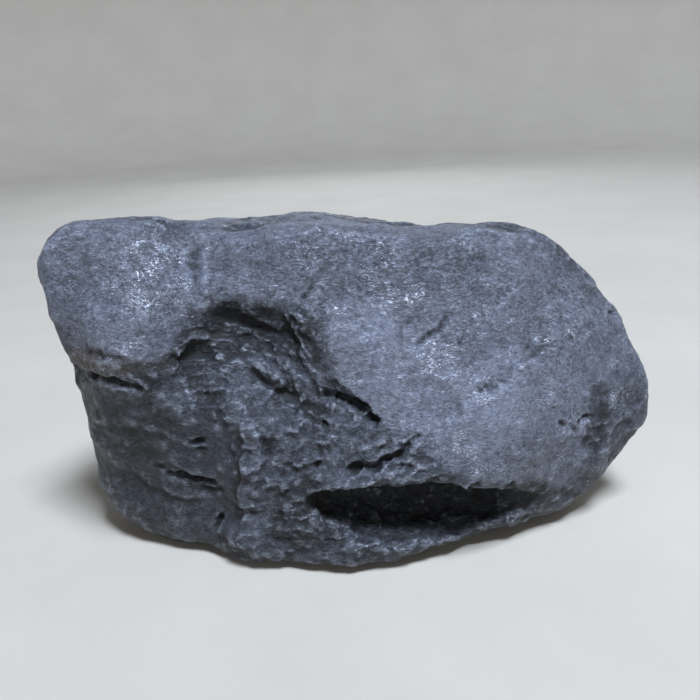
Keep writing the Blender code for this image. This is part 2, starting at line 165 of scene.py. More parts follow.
# Wedges broken out of the skin. Each is the hull of its mouth, outside, and its floor, inside.
BREAKS = {
    "undercut": [
        (-13, -70, 32), (8, -71, 31.5), (24, -71, 32), (38, -69, 31.5), (52, -66, 27), (-8, -70, 19.5),
        (4, -70, 7.5), (25, -69, 4.8), (44, -62, 5.5), (55, -60, 9), (-6, -42, 29), (10, -34, 30),
        (24, -30, 30), (46, -32, 25), (0, -42, 18), (28, -34, 13.5), (52, -36, 15),
    ],
    "undercut_left": [
        (-24, -66, 30.5), (-14, -70, 32), (-4, -70, 33.5), (-22, -66, 25), (-12, -70, 23), (0, -70, 18),
        (-17, -44, 27), (-2, -42, 28), (-4, -44, 20),
    ],
    "undercut_right": [
        (44, -66, 29.5), (56, -62, 26.5), (70, -56, 20), (44, -62, 10), (58, -58, 10.5), (71, -52, 13),
        (46, -36, 23), (62, -35, 16),
    ],
    "ledge_shadow": [
        (-112, -26, 72.5), (-112, -26, 67.5), (-86, -50, 71.5), (-86, -50, 68.5), (-77, -50, 68.5),
        (-97, -13, 74), (-86, -25, 72),
    ],
    "notch": [
        (-13, -50, 60.5), (-12, -50, 58), (3, -54, 58.5), (3.5, -54, 55), (-4, -52, 60.5), (-4, -52, 55.5),
        (-6, -34, 61.5), (0, -37, 60),
    ],
}

# Steps across the skin: the path, the height of the step, how far it fades, how sharp its edge is.
# Going along the path, the high side lies on the left as seen from outside the stone.
STEPS = [
    ([(-80, -34, 59), (-70, -37, 46), (-66, -37, 40), (-56, -39, 33.6), (-48.5, -43, 29)], 3.0, 12, 1.5),
    ([(86, -20, 73), (72, -28, 70.6), (63, -32, 69), (52, -38, 64.7), (46.6, -42, 61),
      (37, -45, 60)], 3.0, 16, 1.5),
    ([(-47, -28, 82), (-38, -28, 79), (-28, -29, 77), (-16, -32, 72)], 2.0, 5, 0.8),
    ([(-34, -50, 41), (-20, -50, 43), (-8, -52, 41), (4, -55, 39)], 2.0, 8, 1.0),
    ([(-30, -53, 17), (-16, -57, 20), (0, -58, 12), (20, -56, 9)], 2.0, 7, 1.0),
    ([(66, -49, 36), (76, -43, 40), (84, -37, 48), (92, -30, 56)], 2.5, 9, 1.2),
    ([(84, 30, 72), (58, 42, 78), (32, 49, 80), (4, 53, 88), (-30, 50, 92), (-60, 42, 92)], 4.5, 16, 1.2),
    ([(94, 22, 44), (60, 42, 36), (34, 52, 44), (6, 56, 42), (-22, 60, 50), (-52, 55, 56)], 5.0, 15, 1.2),
    ([(-50, 56, 66), (-70, 47, 58), (-88, 32, 60), (-98, 10, 56)], 4.0, 14, 1.2),
    ([(10, 52, 24), (-20, 54, 22), (-48, 48, 28), (-70, 38, 24)], 3.5, 10, 1.0),
    ([(-66, 30, 108), (-44, 20, 110), (-26, 4, 111), (-4, -8, 111)], 2.5, 12, 1.0),
    ([(62, -4, 107), (40, 8, 107), (22, 22, 107), (14, 36, 106)], 2.0, 10, 1.0),
    ([(104, -16, 40), (106, -2, 52), (100, 10, 66), (94, 14, 76)], 3.0, 10, 1.0),
    ([(-100, -16, 92), (-96, 2, 84), (-93, 16, 88)], 3.0, 12, 1.0),
]

# Cracks and slits: the path, the half width, the depth.
CRACKS = [
    ([(0.5, -47, 54), (4, -48, 53), (7, -49, 52)], 2.4, 4.5),
    ([(-4, -55.6, 38.5), (0.2, -55.5, 39.9), (4.5, -55.7, 40.9), (9, -55.6, 42.4),
      (12.7, -55.3, 43.8)], 2.3, 4.5),
    ([(-64, -37, 31), (-56.7, -39, 30.3), (-48, -43, 29.5)], 3.0, 4.5),
    ([(18.9, -37, 74.1), (22.4, -35, 76.2), (27, -33.5, 78.5), (31.3, -31, 82.8)], 1.9, 2.4),
    ([(-51, -44, 10), (-46, -45, 16.5)], 2.0, 3.0), ([(-18, -50, 53), (-11, -48, 51)], 2.0, 3.0),
    ([(72, -42, 44), (79, -38, 46), (85, -36, 40)], 2.2, 3.0),
    ([(44, 48, 86), (38, 54, 64), (46, 48, 38)], 5.0, 5.0),
    ([(-34, 50, 90), (-42, 57, 68), (-38, 57, 46)], 4.0, 4.0),
    ([(-10, 10, 109), (6, 22, 108), (16, 26, 106)], 2.4, 3.0),
    ([(-30, 58, 34), (-12, 55, 30), (8, 55, 34)], 3.0, 4.0),
]

# Shell-shaped scars of struck-off flakes: the middle, the way out, the radius, the depth.
SCARS = [
    ((-27, -40, 60), (0.1, -1, 0.3), 11, 2.5),
    ((-31, -29, 80), (0, -1, 0.1), 12, 2.0),
    ((-78, -34, 27), (-0.3, -1, 0), 30, 3.5),
    ((58, -51, 29), (0.4, -1, -0.4), 12, 2.5),
    ((107, -6, 62), (1, 0, 0.2), 24, 4.0),
    ((101, 4, 30), (0.9, 0.2, -0.4), 18, 4.0),
    ((98, 4, 84), (0.8, 0.3, 0.6), 40, 2.5),
    ((-60, 53, 78), (-0.3, 0.9, 0.5), 60, 6.0),
    ((-34, 58, 52), (0.2, 1, -0.2), 46, 5.0),
    ((14, 58, 66), (0.1, 1, 0.2), 52, 6.0),
    ((62, 44, 50), (0.6, 0.9, -0.1), 55, 5.0),
    ((-22, 58, 22), (0, 0.9, -0.4), 34, 4.0),
    ((-87, 30, 40), (-0.8, 0.7, -0.1), 50, 5.0),
    ((38, 44, 94), (0.2, 0.7, 0.7), 34, 4.0),
    ((-40, 46, 100), (-0.1, 0.7, 0.8), 40, 4.0),
    ((-34, 12, 111), (0, 0, 1), 48, 2.5),
    ((32, 18, 108), (0, 0, 1), 36, 2.0),
    ((-97.5, 0, 60), (-1, 0.1, -0.1), 26, 3.0),
    ((-97, 4, 103), (-0.8, 0.2, 0.5), 26, 3.0),
    ((30, 46, 14), (0.1, 0.8, -0.5), 20, 5.0),
]

# The rough fracture of the whole skin: bowls with sharp rims between them, then finer lumps.
BOWL_SIZE = 27.0
BOWL_HEIGHT = 4.0
LUMP_SIZE = 20.0
LUMP_HEIGHT = 1.9
CALM_CENTRE = (40, -42, 66)
CALM_REACH = (62, 26, 40)
CALM_SHARE = 0.75

# Facets strewn over the whole skin, round by round: from facet to facet, their reach, their depth.
FACET_ROUNDS = ((25, 26, 1.8), (14, 15, 0.9))
FACET_SEED = 83
FACET_FLOOR = 4  # none below this height
FACET_LEAN = 0.35  # how far one leans by chance
FACET_OUTLOOK = 0.6  # the share of its reach that it takes its direction from
FACET_FACING = 0.2  # how far the skin that it takes has to look its way
FACET_LEAST_SIZE = 0.5  # the smallest against the largest
FACET_LEAST_DEPTH = 0.4  # the shallowest against the deepest
FACET_FLAT = 0.5  # the share of its reach that is flat
FACET_RIM = 0.5  # how steeply it rises beyond that

# ---------------------------------------------------------------- random fields


CORNERS = np.array([(x, y, z) for x in (0, 1) for y in (0, 1) for z in (0, 1)])
NEIGHBOURS = np.array([(x, y, z) for x in (-1, 0, 1) for y in (-1, 0, 1) for z in (-1, 0, 1)])
CHIP_SIDES = np.array([
    (0.94, 0.21, 0.27), (-0.86, 0.42, 0.29), (0.12, -0.97, 0.20), (0.31, 0.83, -0.46), (-0.38, -0.35, -0.86),
    (0.52, -0.24, -0.82), (-0.14, 0.29, 0.95),
])


# Where the random waves start, how strong the longest are, and how each octave follows the last.
WAVE_START = 31.7
WAVE_STRENGTH = 1.6
OCTAVE_SCALE = 2.03
OCTAVE_SHIFT = 17.3

# The size of the waves that the borders of cells wander on, in cells.
WANDER_SIZE = 0.8


def scatter(cells: np.ndarray, seed: int) -> np.ndarray:
    """Gives every cell of a grid three random numbers that never change.

    Args:
        cells: The cells' whole-numbered places, one row each.
        seed: Which of the many sets of numbers to give.

    Returns:
        Three numbers from 0 to 1 for each row.
    """
    place = cells.astype(np.int64).astype(np.uint32)
    key = place[:, 0] * np.uint32(73856093)
    key ^= place[:, 1] * np.uint32(19349663)
    key ^= place[:, 2] * np.uint32(83492791)
    key ^= np.uint32((seed * 40503 + 977) & 0xFFFFFFFF)
    key ^= key >> np.uint32(16)
    key *= np.uint32(0x85EBCA6B)
    key ^= key >> np.uint32(13)
    key *= np.uint32(0xC2B2AE35)
    key ^= key >> np.uint32(16)
    return np.stack([(key >> np.uint32(shift)) & np.uint32(1023) for shift in (0, 10, 20)], axis=1) / 1023


def fourth(numbers: np.ndarray) -> np.ndarray:
    """A fourth random number from 0 to 1 out of each row of three."""
    return (numbers.sum(axis=1) * 7.31) % 1


def smooth_step(value: np.ndarray) -> np.ndarray:
    """0 below 0, 1 above 1, and an even rise between."""
    value = np.clip(value, 0, 1)
    return value * value * (3 - 2 * value)


def dots(one: np.ndarray, two: np.ndarray) -> np.ndarray:
    """The dot product of each pair of rows."""
    return np.einsum("ij,ij->i", one, two)


def unit(way: Point) -> np.ndarray:
    """The same direction with length 1."""
    arrow = np.array(way, float)
    return arrow / np.linalg.norm(arrow)


def within(spots: Sequence[Point], reach: float) -> tuple[np.ndarray, np.ndarray]:
    """The lowest and the highest corner of what lies within reach of the spots."""
    return np.min(spots, axis=0) - reach, np.max(spots, axis=0) + reach


@dataclass(frozen=True)
class Grid:
    """Turned and stretched space, in which patterns get long one way.

    Attributes:
        lean: Degrees that the long way drops to the right, seen from the face.
        stretch: How many times longer the patterns are along that way.
        hub: X and Z of the middle, where the long way runs in circles instead.
        true_radius: How far from the hub the long way keeps its length.
    """

    lean: float = 0.0
    stretch: float = 1.0
    hub: Spot | None = None
    true_radius: float = 30.0

    def at(self, points: np.ndarray) -> np.ndarray:
        """The points in the turned and stretched space.

        Args:
            points: The points.

        Returns:
            The same points in that space.
        """
        if self.hub:
            out = points[:, [0, 2]] - np.array(self.hub)
            across = np.linalg.norm(out, axis=1)
            along = self.true_radius * np.arctan2(out[:, 0], out[:, 1])
        else:
            turn = math.radians(self.lean)
            along = points[:, 0] * math.cos(turn) - points[:, 2] * math.sin(turn)
            across = points[:, 0] * math.sin(turn) + points[:, 2] * math.cos(turn)
        return np.stack([along / self.stretch, points[:, 1], across], axis=1)


@dataclass(frozen=True)
class Waves:
    """Smooth random waves in space, on both sides of 0.

    Attributes:
        size: The length of the longest waves.
        seed: Which field of waves this is.
        octaves: How many times the waves come again at half the length.
        share: The strength of each coming against the one before.
        grid: The space that they run in.
    """

    size: float
    seed: int
    octaves: int = 3
    share: float = 0.5
    grid: Grid = Grid()

    def at(self, points: np.ndarray) -> np.ndarray:
        """The waves' height at each point, mostly from -1 to 1."""
        return self._add_up(points, moves=False)

    def shift(self, points: np.ndarray, reach: float) -> np.ndarray:
        """Moves of up to about the given reach, alike for neighbours."""
        return reach * self._add_up(points, moves=True)

    def _add_up(self, points: np.ndarray, moves: bool) -> np.ndarray:
        """Adds the octaves.

        Args:
            points: The points.
            moves: Whether to give moves in space instead of heights.

        Returns:
            The height or the move of each point.
        """
        total: np.ndarray | float = 0.0
        strength = WAVE_STRENGTH
        spots = self.grid.at(points) / self.size + WAVE_START
        for octave in range(self.octaves):
            total = total + strength * self._octave(spots, self.seed + octave, moves)
            strength *= self.share
            spots = spots * OCTAVE_SCALE + OCTAVE_SHIFT
        return total

    @staticmethod
    def _octave(spots: np.ndarray, seed: int, moves: bool) -> np.ndarray:
        """Blends random slopes or moves from the corners of each cell.

        Args:
            spots: The points, in cells.
            seed: Which set of random numbers to use.
            moves: Whether to give moves in space instead of heights.

        Returns:
            The height or the move of each point.
        """
        base = np.floor(spots)
        part = spots - base
        ease = smooth_step(part) if moves else part**3 * (part * (part * 6 - 15) + 10)
        total = np.zeros(spots.shape if moves else len(spots))
        for corner in CORNERS:
            chance = scatter(base + corner, seed)
            weight = np.prod(np.where(corner == 1, ease, 1 - ease), axis=1)
            if moves:
                total += weight[:, None] * (chance - 0.5)
            else:
                total += weight * dots(chance * 2 - 1, part - corner)
        return total


STROKE_WANDER = Waves(5, 71, 3)
BOX_MARGIN = 3


# ---------------------------------------------------------------- where the skin is what


class Zone(Enum):
    """The kinds of skin. Every point belongs to them in shares that make up 1."""

    WORN = "worn"
    BROKEN = "broken"
    HOLLOW = "hollow"
    CHIN = "chin"
    FLANK = "flank"


@dataclass(frozen=True)
class Patch:
    """A part of the face inside a closed line, drawn as the face is seen from the front.

    Attributes:
        corners: The line's corners, X and Z.
        edge: How wide its soft border is.
    """

    corners: tuple[Spot, ...]
    edge: float = 3.0

    def at(self, points: np.ndarray) -> np.ndarray:
        """How far each point belongs to the patch, from 0 to 1.

        Args:
            points: The points.

        Returns:
            The share of each point.
        """
        spots = points[:, [0, 2]]
        corners = np.array(self.corners, float)
        inside = np.zeros(len(points), bool)
        away = np.full(len(points), np.inf)
        for start, end in zip(corners, np.roll(corners, -1, axis=0)):
            span = end - start
            offset = spots - start
            share = np.clip(offset @ span / (span @ span), 0, 1)
            away = np.minimum(away, np.linalg.norm(offset - share[:, None] * span, axis=1))
            level = (start[1] > spots[:, 1]) != (end[1] > spots[:, 1])
            crossing = start[0] + offset[:, 1] * span[0] / (span[1] if span[1] else 1)
            inside ^= level & (spots[:, 0] < crossing)
        return smooth_step(np.where(inside, away, -away) / self.edge + 0.5)


@dataclass(frozen=True)
class Region:
    """A soft-edged part of the stone, the shape of a flattened ball.

    Attributes:
        centre: Its middle.
        reach: Its half width along X, Y and Z.
        fade: How many times its reach it has quite faded at.
    """

    centre: Point
    reach: Point
    fade: float = 1.6

    def at(self, points: np.ndarray) -> np.ndarray:
        """How far each point belongs to the region, from 0 to 1."""
        away = np.linalg.norm((points - np.array(self.centre)) / np.array(self.reach), axis=1)
        return smooth_step(self.fade - away)


# The freshly broken parts of the face, and the parts of them that broke in their own way.
BREAKAGE = (
    Patch((
        (-115, 66), (-93, 69.5), (-77, 72), (-68.5, 71), (-62, 73.5), (-57.5, 77), (-52.5, 81), (-45, 83.5),
        (-39.5, 88.5), (-32.5, 89), (-28.5, 87), (-24.5, 85), (-18.5, 86), (-12.5, 87), (-11, 80), (-9, 72),
        (-6.5, 66), (-1, 62), (6, 57), (11.5, 53.5), (19.5, 46.5), (29, 38), (50, 31), (66, 22), (80, 16),
        (92, 2), (92, -20), (-115, -20),
    )),
    Patch(((83, 58), (90, 54), (93, 44), (92, 34), (86, 28), (80, 33), (83, 43))),
)
HOLLOW_PATCH = Patch((
    (-61, 70), (-57.5, 77), (-52.5, 81), (-45, 83.5), (-39.5, 88.5), (-32.5, 89), (-28.5, 87), (-24.5, 85),
    (-18.5, 86), (-12.5, 87), (-9, 72), (-6.5, 66), (-1, 62), (6, 57), (3, 54), (-10, 57), (-19, 59.5),
    (-29, 63), (-42, 61.5), (-52, 59),
))
FLANK_PATCH = Patch((
    (-115, 62), (-82, 62), (-68, 63), (-56, 56), (-46, 52.5), (-40, 48), (-42, 30), (-41, 14), (-42, -10),
    (-115, -10),
), 5.0)
CHIN_PATCH = Patch((
    (-40, 56), (-30, 60), (-19, 59), (-8, 56), (4, 52.5), (16, 49), (28, 39), (50, 32), (66, 24), (60, 16),
    (30, 28), (5, 29), (-10, 24), (-14, 12), (-14, -10), (-41, -10), (-41, 30),
), 4.0)
LOOSE_BORDERS = Waves(9, 61, 3)
ZONE_WANDER = 2.4
MARK_WANDER = 1.5

# Where the face ends, the width of its border, and how firm and how common the back's breaks are.
FACE_END = -6
FACE_BORDER = 8
BACK_BREAKAGE = Waves(52, 64, 3)
BACK_FIRMNESS = 1.8
BACK_SHARE = 0.55


def zone_shares(points: np.ndarray) -> dict[Zone, np.ndarray]:
    """Tells how much of each kind of skin every point has.

    Args:
        points: The points.

    Returns:
        For each zone its share at every point, from 0 to 1.
    """
    loose = points + LOOSE_BORDERS.shift(points, ZONE_WANDER)
    front = smooth_step((FACE_END - loose[:, 1]) / FACE_BORDER)
    face = np.maximum.reduce([patch.at(loose) for patch in BREAKAGE])
    around = smooth_step(BACK_FIRMNESS * BACK_BREAKAGE.at(points) + BACK_SHARE)
    broken = front * face + (1 - front) * around
    shares = {Zone.WORN: 1 - broken}
    for zone, patch in ((Zone.HOLLOW, HOLLOW_PATCH), (Zone.CHIN, CHIN_PATCH), (Zone.FLANK, FLANK_PATCH)):
        shares[zone] = front * broken * patch.at(loose)
        broken = broken - shares[zone]
    shares[Zone.BROKEN] = broken
    return shares


# ---------------------------------------------------------------- relief


def cells_near(
    points: np.ndarray, size: float, seed: int, grid: Grid, wander: float
) -> Iterator[tuple[np.ndarray, np.ndarray]]:
    """Goes through the 27 cells around each point.

    Args:
        points: The points.
        size: The length of a cell.
        seed: Which field of cells this is.
        grid: The space that they are laid out in.
        wander: How far their borders wander, in shares of the size.

    Yields:
        Each cell's three random numbers, and the way from its middle to the point in cells.
    """
    loose = points + Waves(size * WANDER_SIZE, seed, 3).shift(points, size * wander)
    spots = grid.at(loose) / size
    base = np.floor(spots)
    for neighbour in NEIGHBOURS:
        numbers = scatter(base + neighbour, seed)
        yield numbers, spots - (base + neighbour + numbers)


class Relief(Protocol):
    """Anything that says how far the skin lies out or in at a point."""

    def lift(self, points: np.ndarray) -> np.ndarray:
        """The height at each point, in millimetres."""


@dataclass(frozen=True)
class Chips:
    """Angular hollows of struck-off chips: flat sides that meet in crisp ridges.

    Attributes:
        size: How far apart the hollows' middles are.
        depth: About how far a ridge stands over the hollows beside it.
        slant: How much a hollow leans, in shares of its depth.
        seed: Which field of hollows this is.
        grid: The space that they are laid out in.
        ragged: How far their borders wander, in shares of the size.
        steep: How steep their sides are.
        uneven: How far they lie at different depths.
        middle: The level that stays where the skin was.
    """

    size: float
    depth: float
    slant: float
    seed: int
    grid: Grid = Grid()
    ragged: float = 0.16
    steep: float = 0.8
    uneven: float = 0.35
    middle: float = 0.45

    def lift(self, points: np.ndarray) -> np.ndarray:
        """How far the skin lies out or in at each point.

        Args:
            points: The points.

        Returns:
            The heights.
        """
        bed = np.full(len(points), np.inf)
        for numbers, offset in cells_near(points, self.size, self.seed, self.grid, self.ragged):
            lean = self.slant * (2 * numbers[:, [1, 2, 0]] - 1)
            level = self.uneven * fourth(numbers)
            side = (offset @ CHIP_SIDES.T).max(axis=1)
            bed = np.minimum(bed, self.steep * side + dots(offset, lean) + level)
        return 2 * self.depth * (bed - self.middle)


@dataclass(frozen=True)
class Flakes:
    """Thin scales like shingles: each stands out towards its lower edge and ends in a small drop.

    Attributes:
        size: How far apart the scales' middles are.
        height: About how high the drops are.
        seed: Which field of scales this is.
        grid: The space that they are laid out in.
        ragged: How far their borders wander, in shares of the size.
        tilt: How far every scale stands out, and how much further the most tilted ones do.
    """

    size: float
    height: float
    seed: int
    grid: Grid = Grid()
    ragged: float = 0.55
    tilt: Spot = (0.4, 1.2)

    def lift(self, points: np.ndarray) -> np.ndarray:
        """How far the skin lies out or in at each point.

        Args:
            points: The points.

        Returns:
            The heights.
        """
        nearest = np.full(len(points), np.inf)
        chance = np.zeros_like(points)
        above = np.zeros(len(points))
        for numbers, offset in cells_near(points, self.size, self.seed, self.grid, self.ragged):
            reach = dots(offset, offset)
            closer = reach < nearest
            nearest[closer] = reach[closer]
            chance[closer] = numbers[closer]
            above[closer] = offset[closer, 2]
        level = fourth(chance) - 0.5
        every, further = self.tilt
        return self.height * (level - above * (every + further * chance[:, 0]))


@dataclass(frozen=True)
class Lumps:
    """Plain rounded unevenness.

    Attributes:
        waves: The waves that it follows.
        height: Its height.
    """

    waves: Waves
    height: float

    def lift(self, points: np.ndarray) -> np.ndarray:
        """How far the skin lies out or in at each point."""
        return self.height * self.waves.at(points)


@dataclass(frozen=True)
class Pits:
    """Small holes, strewn thinly.

    Attributes:
        size: From pit to pit.
        depth: How deep the deepest pits are.
        seed: Which field of pits this is.
        patch: The size of the patches that they come in, in pits.
        strewing: How firm those patches are, and how common.
        rim: Where a pit begins on the waves, and how soft its rim is.
    """

    size: float
    depth: float
    seed: int
    patch: int = 7
    strewing: Spot = (1.6, 0.3)
    rim: Spot = (0.3, 0.4)

    def lift(self, points: np.ndarray) -> np.ndarray:
        """How far the skin lies in at each point.

        Args:
            points: The points.

        Returns:
            The heights, none above 0.
        """
        ground = Waves(self.size, self.seed, 2).at(points)
        patches = Waves(self.size * self.patch, self.seed + 5, 2).at(points)
        firm, common = self.strewing
        begin, soft = self.rim
        return -self.depth * smooth_step(firm * patches + common) * smooth_step((ground - begin) / soft)


@dataclass(frozen=True)
class Layer:
    """One kind of relief and how much of it lies in each zone.

    Attributes:
        relief: The relief.
        worn: Its share on worn skin.
        broken: Its share on plain breaks.
        hollow: Its share in the hollow.
        chin: Its share on the chin.
        flank: Its share on the left flank.
    """

    relief: Relief
    worn: float
    broken: float
    hollow: float
    chin: float
    flank: float

    def lift(self, points: np.ndarray, shares: dict[Zone, np.ndarray]) -> np.ndarray:
        """How far the skin lies out or in at each point."""
        amount = sum(getattr(self, zone.value) * share for zone, share in shares.items())
        return amount * self.relief.lift(points)


# ---------------------------------------------------------------- strokes of the hammer


class Stroke(Protocol):
    """Anything that moves the skin where a tool or a blow would."""

    def box(self) -> tuple[np.ndarray, np.ndarray]:
        """The lowest and the highest corner of what it can reach."""

    def move(self, points: np.ndarray, normals: np.ndarray) -> np.ndarray:
        """The points' moves."""


@dataclass(frozen=True)
class OnPath:
    """How points lie against a path.

    Attributes:
        distance: The distance from the path.
        offset: The way from the path to the point.
        share: The share of the way along the path.
        heading: The path's direction there.
    """

    distance: np.ndarray
    offset: np.ndarray
    share: np.ndarray
    heading: np.ndarray

    @classmethod
    def of(cls, points: np.ndarray, path: Sequence[Point]) -> "OnPath":
        """Measures the points against the path's corners.

        Args:
            points: The points.
            path: The path's corners.

        Returns:
            Where each point lies.
        """
        corners = np.array(path, float)
        spans = corners[1:] - corners[:-1]
        lengths = np.linalg.norm(spans, axis=1)
        starts = np.concatenate([[0], np.cumsum(lengths)])
        found = cls(
            np.full(len(points), np.inf), np.zeros_like(points), np.zeros(len(points)), np.zeros_like(points)
        )
        for start, span, length, begin in zip(corners[:-1], spans, lengths, starts):
            step = np.clip(((points - start) @ span) / length**2, 0, 1)
            away = points - start - step[:, None] * span
            reach = np.linalg.norm(away, axis=1)
            near = reach < found.distance
            found.distance[near] = reach[near]
            found.offset[near] = away[near]
            found.share[near] = (begin + step[near] * length) / starts[-1]
            found.heading[near] = span / length
        return found

    def ends(self, part: float = 0.25) -> np.ndarray:
        """Falls to 0 at both ends of the path, over the given part of it."""
        return np.sqrt(np.clip(np.minimum(self.share, 1 - self.share) / part, 0, 1))


@dataclass(frozen=True)
class Scar:
    """A shell-shaped hollow where a flake was struck off.

    Attributes:
        middle: The middle of the hollow's mouth.
        way_out: The way that the flake left.
        radius: The radius of the hollow.
        depth: Its depth at the middle.
    """

    middle: Point
    way_out: Point
    radius: float
    depth: float

    def box(self) -> tuple[np.ndarray, np.ndarray]:
        """The lowest and the highest corner of what it can reach."""
        return within([self.middle], 2 * self.radius)

    def move(self, points: np.ndarray, normals: np.ndarray) -> np.ndarray:
        """Presses the skin back to a ball that stands over it.

        Args:
            points: The points.
            normals: The outward normals at them; not used.

        Returns:
            The points' moves.
        """
        way = unit(self.way_out)
        from_ball = points - (np.array(self.middle, float) + way * (self.radius - self.depth))
        along = from_ball @ way
        across = np.sum(from_ball**2, axis=1) - along**2
        bed = -np.sqrt(np.maximum(self.radius**2 - across, 0))
        inside = (along < 0) & (along > bed)
        return way * np.where(inside, bed - along, 0)[:, None]


@dataclass(frozen=True)
class Step:
    """A ledge along a path. Its high side lies on the left, as seen from outside the stone.

    Attributes:
        path: The path.
        height: The height from the low side to the high side.
        reach: How far the ledge fades into the skin.
        edge: How wide the drop is.
    """

    path: Sequence[Point]
    height: float
    reach: float
    edge: float

    def box(self) -> tuple[np.ndarray, np.ndarray]:
        """The lowest and the highest corner of what it can reach."""
        return within(self.path, self.reach)

    def move(self, points: np.ndarray, normals: np.ndarray) -> np.ndarray:
        """Lifts the high side and sinks the low side.

        Args:
            points: The points.
            normals: The outward normals at them.

        Returns:
            The points' moves.
        """
        on_path = OnPath.of(points, self.path)
        side = dots(np.cross(on_path.heading, on_path.offset), normals)
        fall = np.clip(1 - on_path.distance / self.reach, 0, 1) ** 1.5
        lift = 0.5 * self.height * np.tanh(side / self.edge) * fall * on_path.ends()
        return normals * lift[:, None]


@dataclass(frozen=True)
class Crack:
    """A slit along a path.

    Attributes:
        path: The path.
        half_width: Half its width at the skin.
        depth: Its depth.
        steep: How steep its sides are, from 1 (a dent) up.
        upward: How far it turns up inside, in shares of its depth.
    """

    path: Sequence[Point]
    half_width: float
    depth: float
    steep: float = 1.0
    upward: float = 0.0

    def box(self) -> tuple[np.ndarray, np.ndarray]:
        """The lowest and the highest corner of what it can reach."""
        return within(self.path, self.half_width)

    def move(self, points: np.ndarray, normals: np.ndarray) -> np.ndarray:
        """Sinks the slit into the skin.

        Args:
            points: The points.
            normals: The outward normals at them.

        Returns:
            The points' moves.
        """
        on_path = OnPath.of(points, self.path)
        near = smooth_step(self.steep * (1 - on_path.distance / self.half_width))
        sink = self.depth * near * on_path.ends()
        return (np.array((0, 0, self.upward)) - normals) * sink[:, None]


@dataclass(frozen=True)
class Facet:
    """A high spot that was struck off, which leaves a nearly flat face with a crisp rim.

    Attributes:
        middle: The middle of the high spot.
        way_out: The way that the face looks.
        reach: How far the face can spread.
        depth: How much of the high spot is gone.
    """

    middle: Point
    way_out: Point
    reach: float
    depth: float

    def box(self) -> tuple[np.ndarray, np.ndarray]:
        """The lowest and the highest corner of what it can reach."""
        return within([self.middle], self.reach)

    def move(self, points: np.ndarray, normals: np.ndarray) -> np.ndarray:
        """Presses what stands over the face back to it.

        Args:
            points: The points.
            normals: The outward normals at them.

        Returns:
            The points' moves.
        """
        way = unit(self.way_out)
        offset = points - np.array(self.middle)
        along = offset @ way
        across = np.linalg.norm(offset - along[:, None] * way, axis=1)
        facing = normals @ way > FACET_FACING
        beside = (across < self.reach) & facing & (np.abs(along) < self.reach)
        if not beside.any():
            return np.zeros_like(points)
        top = along[beside].max() - self.depth
        rim = FACET_RIM * self.reach * np.clip(across / self.reach - FACET_FLAT, 0, 1)
        return way * np.where(beside, np.minimum(top + rim - along, 0), 0)[:, None]


def strewn_facets(
    points: np.ndarray, normals: np.ndarray, spacing: float, reach: float, depth: float
) -> list[Facet]:
    """Finds places for facets all over the skin.

    Args:
        points: The skin's points.
        normals: The outward normals at them.
        spacing: About how far apart the facets are.
        reach: How far the largest of them spread.
        depth: How much the deepest of them take off.

    Returns:
        The facets, the same ones every time.
    """
    cells = np.floor(points / spacing)
    _, first = np.unique(cells, axis=0, return_index=True)
    facets = []
    for index, chance in zip(first, scatter(cells[first], FACET_SEED)):
        near = np.linalg.norm(points - points[index], axis=1) < FACET_OUTLOOK * reach
        way = normals[near].mean(axis=0) + FACET_LEAN * (chance - 0.5)
        size = FACET_LEAST_SIZE + (1 - FACET_LEAST_SIZE) * chance[1]
        deep = FACET_LEAST_DEPTH + (1 - FACET_LEAST_DEPTH) * chance[2]
        if points[index][2] > FACET_FLOOR:
            facets.append(Facet(tuple(points[index]), tuple(way), reach * size, depth * deep))
    return facets


